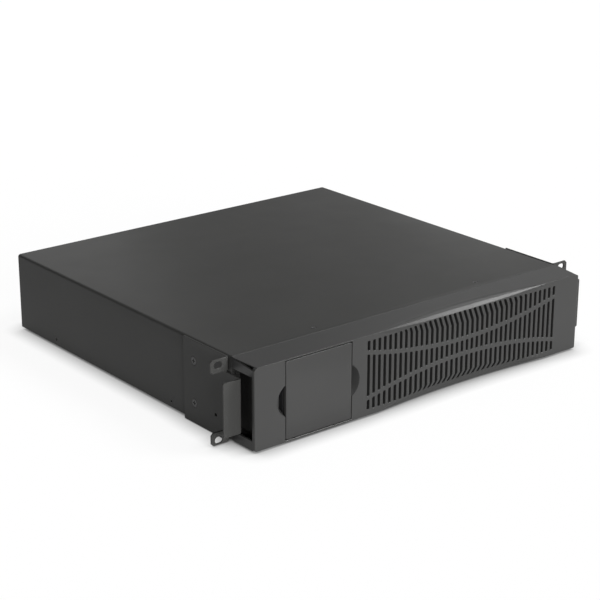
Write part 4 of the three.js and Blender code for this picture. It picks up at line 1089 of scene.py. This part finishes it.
def build_fan_frame(name, x):
    """Two square flanges joined by a round duct, with the motor's plate on four spokes at the back."""
    bm = bmesh.new()
    u = -x
    bore = circle(u, FAN_Z, FAN_BORE, 64)
    outline = round_corners(centred(u, FAN_Z, FAN_HALF, FAN_HALF), FAN_CORNER, 5)
    screws = centred(u, FAN_Z, FAN_SCREW, FAN_SCREW)
    holes = [bore, *(circle(*screw, FAN_SCREW_HOLE, 20) for screw in screws)]
    for back in (FAN_BACK, FAN_FRONT + FAN_FLANGE):
        plate(bm, outline, holes, facing_back(back), FAN_FLANGE, edge=0.5)
    plate(bm, circle(u, FAN_Z, FAN_HALF - 0.1, 64), [bore], facing_back(FAN_BACK - 3), 19)
    inner = FAN_BACK - HUB_PLATE
    profile = [(0, FAN_BACK), (14.5, FAN_BACK), (FAN_HUB, FAN_BACK - 1), (FAN_HUB, inner), (0, inner)]
    turned(bm, profile, 48, lambda a, b, h: (x + a, h, FAN_Z + b))
    near, far = 15.0, FAN_BORE + 0.5
    for a, b in ((1, 0), (-1, 0), (0, 1), (0, -1)):
        x0, x1 = (x + a * near, x + a * far) if a else (x - SPOKE_HALF, x + SPOKE_HALF)
        z0, z1 = (FAN_Z + b * near, FAN_Z + b * far) if b else (FAN_Z - SPOKE_HALF, FAN_Z + SPOKE_HALF)
        box(bm, x0, x1, inner, FAN_BACK - 0.05, z0, z1, 0.6)
    finish_piece(bm, f"{name}_housing", "black_plastic", "chassis", [name])


# ---------- power inlet

INLET_X, INLET_Z = -190.0, 58.0
INLET_BACK, INLET_RADIUS = 431.3, 3.0
# Half of the width and half of the height.
MOUTH_HALF, FLANGE_HALF, SOCKET_HALF, PIN_HALF = (13.5, 10.5), (19.0, 15.0), (15.1, 12.1), (4.0, 1.0)
SOCKET_START, SOCKET_END = 1.5, 19.0
PIN_OFFSETS = ((-6.5, -3.5), (6.5, -3.5), (0.0, 3.5))


def build_inlet():
    """The inlet's flange and socket, and its three flat pins as a piece of their own."""
    bm = bmesh.new()
    middle = (-INLET_X, INLET_Z)
    mouth = round_corners(centred(*middle, *MOUTH_HALF), INLET_RADIUS, 5)
    flange = round_corners(centred(*middle, *FLANGE_HALF), INLET_RADIUS, 5)
    body = centred(*middle, *SOCKET_HALF)
    plate(bm, flange, [mouth], facing_back(INLET_BACK), 2, edge=0.5)
    plate(bm, body, [mouth], facing_back(INLET_BACK - SOCKET_START), SOCKET_END - SOCKET_START)
    plate(bm, body, [], facing_back(INLET_BACK - SOCKET_END), 5, edge=0.4)
    finish_piece(bm, "inlet_housing", "black_plastic", "chassis", ["power_inlet"])
    bm = bmesh.new()
    wide, high = PIN_HALF
    pin_y = (INLET_BACK - SOCKET_END - 1, INLET_BACK - 2.1)
    for x, z in PIN_OFFSETS:
        x, z = INLET_X + x, INLET_Z + z
        box(bm, x - wide, x + wide, *pin_y, z - high, z + high, 0.45)
    finish_piece(bm, "inlet_pins", "zinc_steel", "chassis")


# ---------- remaining CAD pieces

BUILT_PREFIXES = (
    "top_cover", "rack_ear", "front_bezel", "display_cover", "power_inlet", "breaker_button", "cover_screw",
    "ear_screw", "panel_button", "foot_", "fan_",
)
# Rounding of the edges in millimetres, where it differs from the usual one.
EDGE_WIDTH = 0.25
EDGE_WIDTHS = {
    "battery_front": 1.2, "battery_middle": 1.2, "battery_rear": 1.2, "transformer_coil": 1.5,
    "transformer_core": 0.6, "output_choke": 1.0, "relay_left": 0.6, "relay_right": 0.6, "display_frame": 0.4,
}
FLAT_ANGLE = radians(1.0)
EDGE_ANGLE = radians(32.0)


def soften_cad_pieces():
    """Rounds the edges of the CAD pieces that are kept as they are."""
    for name, node in frame["nodes"].items():
        if name.startswith(BUILT_PREFIXES):
            continue
        weld = node.modifiers.new("weld", "WELD")
        weld.merge_threshold = 1e-6
        dissolve = node.modifiers.new("dissolve", "DECIMATE")
        dissolve.decimate_type = "DISSOLVE"
        dissolve.angle_limit = FLAT_ANGLE
        bevel = node.modifiers.new("bevel", "BEVEL")
        bevel.width = EDGE_WIDTHS.get(name, EDGE_WIDTH) * MM
        bevel.segments = 2
        bevel.limit_method = "ANGLE"
        bevel.angle_limit = EDGE_ANGLE
        bevel.harden_normals = False


build_bezel()
build_cover()
build_ear("rack_ear_left_sheet", -1)
build_ear("rack_ear_right_sheet", 1)
build_screws()
build_display_cover()
build_buttons()
build_feet()
for fan_name, fan_x in FAN_XS.items():
    build_fan_guard(f"fan_guard_{fan_name}", fan_x)
    build_fan_rotor(f"fan_rotor_{fan_name}", fan_x, f"rotor_{fan_name}")
    build_fan_frame(f"fan_frame_{fan_name}", fan_x)
build_inlet()
soften_cad_pieces()

# ---------- camera, lights and floor

scene = bpy.context.scene
scene.view_settings.view_transform = "Standard"

# The camera's place is in layout millimetres.
CAMERA_AT = (-1106.8, -1167.3, 674.05)
CAMERA_AZIMUTH, CAMERA_ELEVATION, CAMERA_ROLL = 38.90, 19.63, 0.12
CAMERA_LENS = 102.89
LIGHT_TARGET = Vector((0, 0, 0.05))
PANEL_DISTANCE = 3.0
# Azimuth and elevation in degrees, then a sun's disc in degrees and its strength.
SUNS = {
    "key": (128, 44, 20, 3.1), "overhead": (0, 88, 75, 0.5),
    "front_fill": (187, 10, 40, 6.0), "back_top": (52, 42, 30, 0.25),
}
# Azimuth and elevation in degrees, then a panel's width, height and power.
PANELS = {
    "back_left": (12, 20, 1.7, 1.6, 8.8), "back_right": (62, 20, 1.7, 1.6, 3.7),
    "back_low": (38, 8, 1.6, 0.5, 1.3),
}
WORLD_STRENGTH = 0.05
FLOOR_HALF = 14.0
FLOOR_TONE, FLOOR_ROUGHNESS, FLOOR_GLOW = (0.06, 0.06, 0.06), 0.9, 0.92
CONTACT_REACH = 0.024


def direction_to(azimuth, elevation):
    """The unit vector in this direction, in degrees. Azimuth 0 is the back and 90 the right."""
    a, e = radians(azimuth), radians(elevation)
    return Vector((sin(a) * cos(e), cos(a) * cos(e), sin(e)))


def make_camera():
    forward = direction_to(CAMERA_AZIMUTH, -CAMERA_ELEVATION)
    roll = radians(CAMERA_ROLL)
    right = forward.cross(Vector((0, 0, 1))).normalized()
    up = right.cross(forward)
    rolled_right = right * cos(roll) + up * sin(roll)
    rolled_up = rolled_right.cross(forward)
    turn = Matrix((rolled_right, rolled_up, -forward)).transposed().to_4x4()
    data = bpy.data.cameras.new("camera")
    data.lens = CAMERA_LENS
    data.clip_end = 50
    camera = bpy.data.objects.new("camera", data)
    scene.collection.objects.link(camera)
    camera.matrix_world = Matrix.Translation(place(*CAMERA_AT)) @ turn
    scene.camera = camera


def add_light(name, kind, energy, at, away):
    """A light at the given place that shines against the direction away."""
    data = bpy.data.lights.new(name, kind)
    data.energy = energy
    light = bpy.data.objects.new(name, data)
    scene.collection.objects.link(light)
    light.matrix_world = Matrix.Translation(at) @ (-away).to_track_quat("-Z", "Y").to_matrix().to_4x4()
    return data


def panel_light(name, azimuth, elevation, width, height, power):
    """A soft box in the given direction from the object, aimed at its middle."""
    away = direction_to(azimuth, elevation)
    data = add_light(name, "AREA", power, LIGHT_TARGET + away * PANEL_DISTANCE, away)
    data.shape = "RECTANGLE"
    data.size, data.size_y = width, height


def sun_light(name, azimuth, elevation, disc, strength):
    """Even, soft light from one direction. Its disc is given in degrees across."""
    data = add_light(name, "SUN", strength, (0, 0, 0), direction_to(azimuth, elevation))
    data.angle = radians(disc)


def make_stage():
    """A dim white world and a pale floor that glows, less so close to the object, as a contact shadow."""
    world = bpy.data.worlds.new("world")
    scene.world = world
    world.use_nodes = True
    background = world.node_tree.nodes["Background"]
    background.inputs["Color"].default_value = (1, 1, 1, 1)
    background.inputs["Strength"].default_value = WORLD_STRENGTH
    mesh = bpy.data.meshes.new("floor")
    corners = [(x, y, 0) for x, y in centred(0, 0, FLOOR_HALF, FLOOR_HALF)]
    mesh.from_pydata(corners, [], [(0, 1, 2, 3)])
    floor = bpy.data.objects.new("floor", mesh)
    scene.collection.objects.link(floor)
    white = new_material("floor_white", FLOOR_TONE, FLOOR_ROUGHNESS, specular=0.0)
    contact = add_node(white, "ShaderNodeAmbientOcclusion", Distance=CONTACT_REACH)
    white.node_tree.links.new(contact.outputs["Color"], socket(white, "Emission Color"))
    socket(white, "Emission Strength").default_value = FLOOR_GLOW
    floor.data.materials.append(white)


make_camera()
make_stage()
for light_name, values in SUNS.items():
    sun_light(light_name, *values)
for light_name, values in PANELS.items():
    panel_light(light_name, *values)
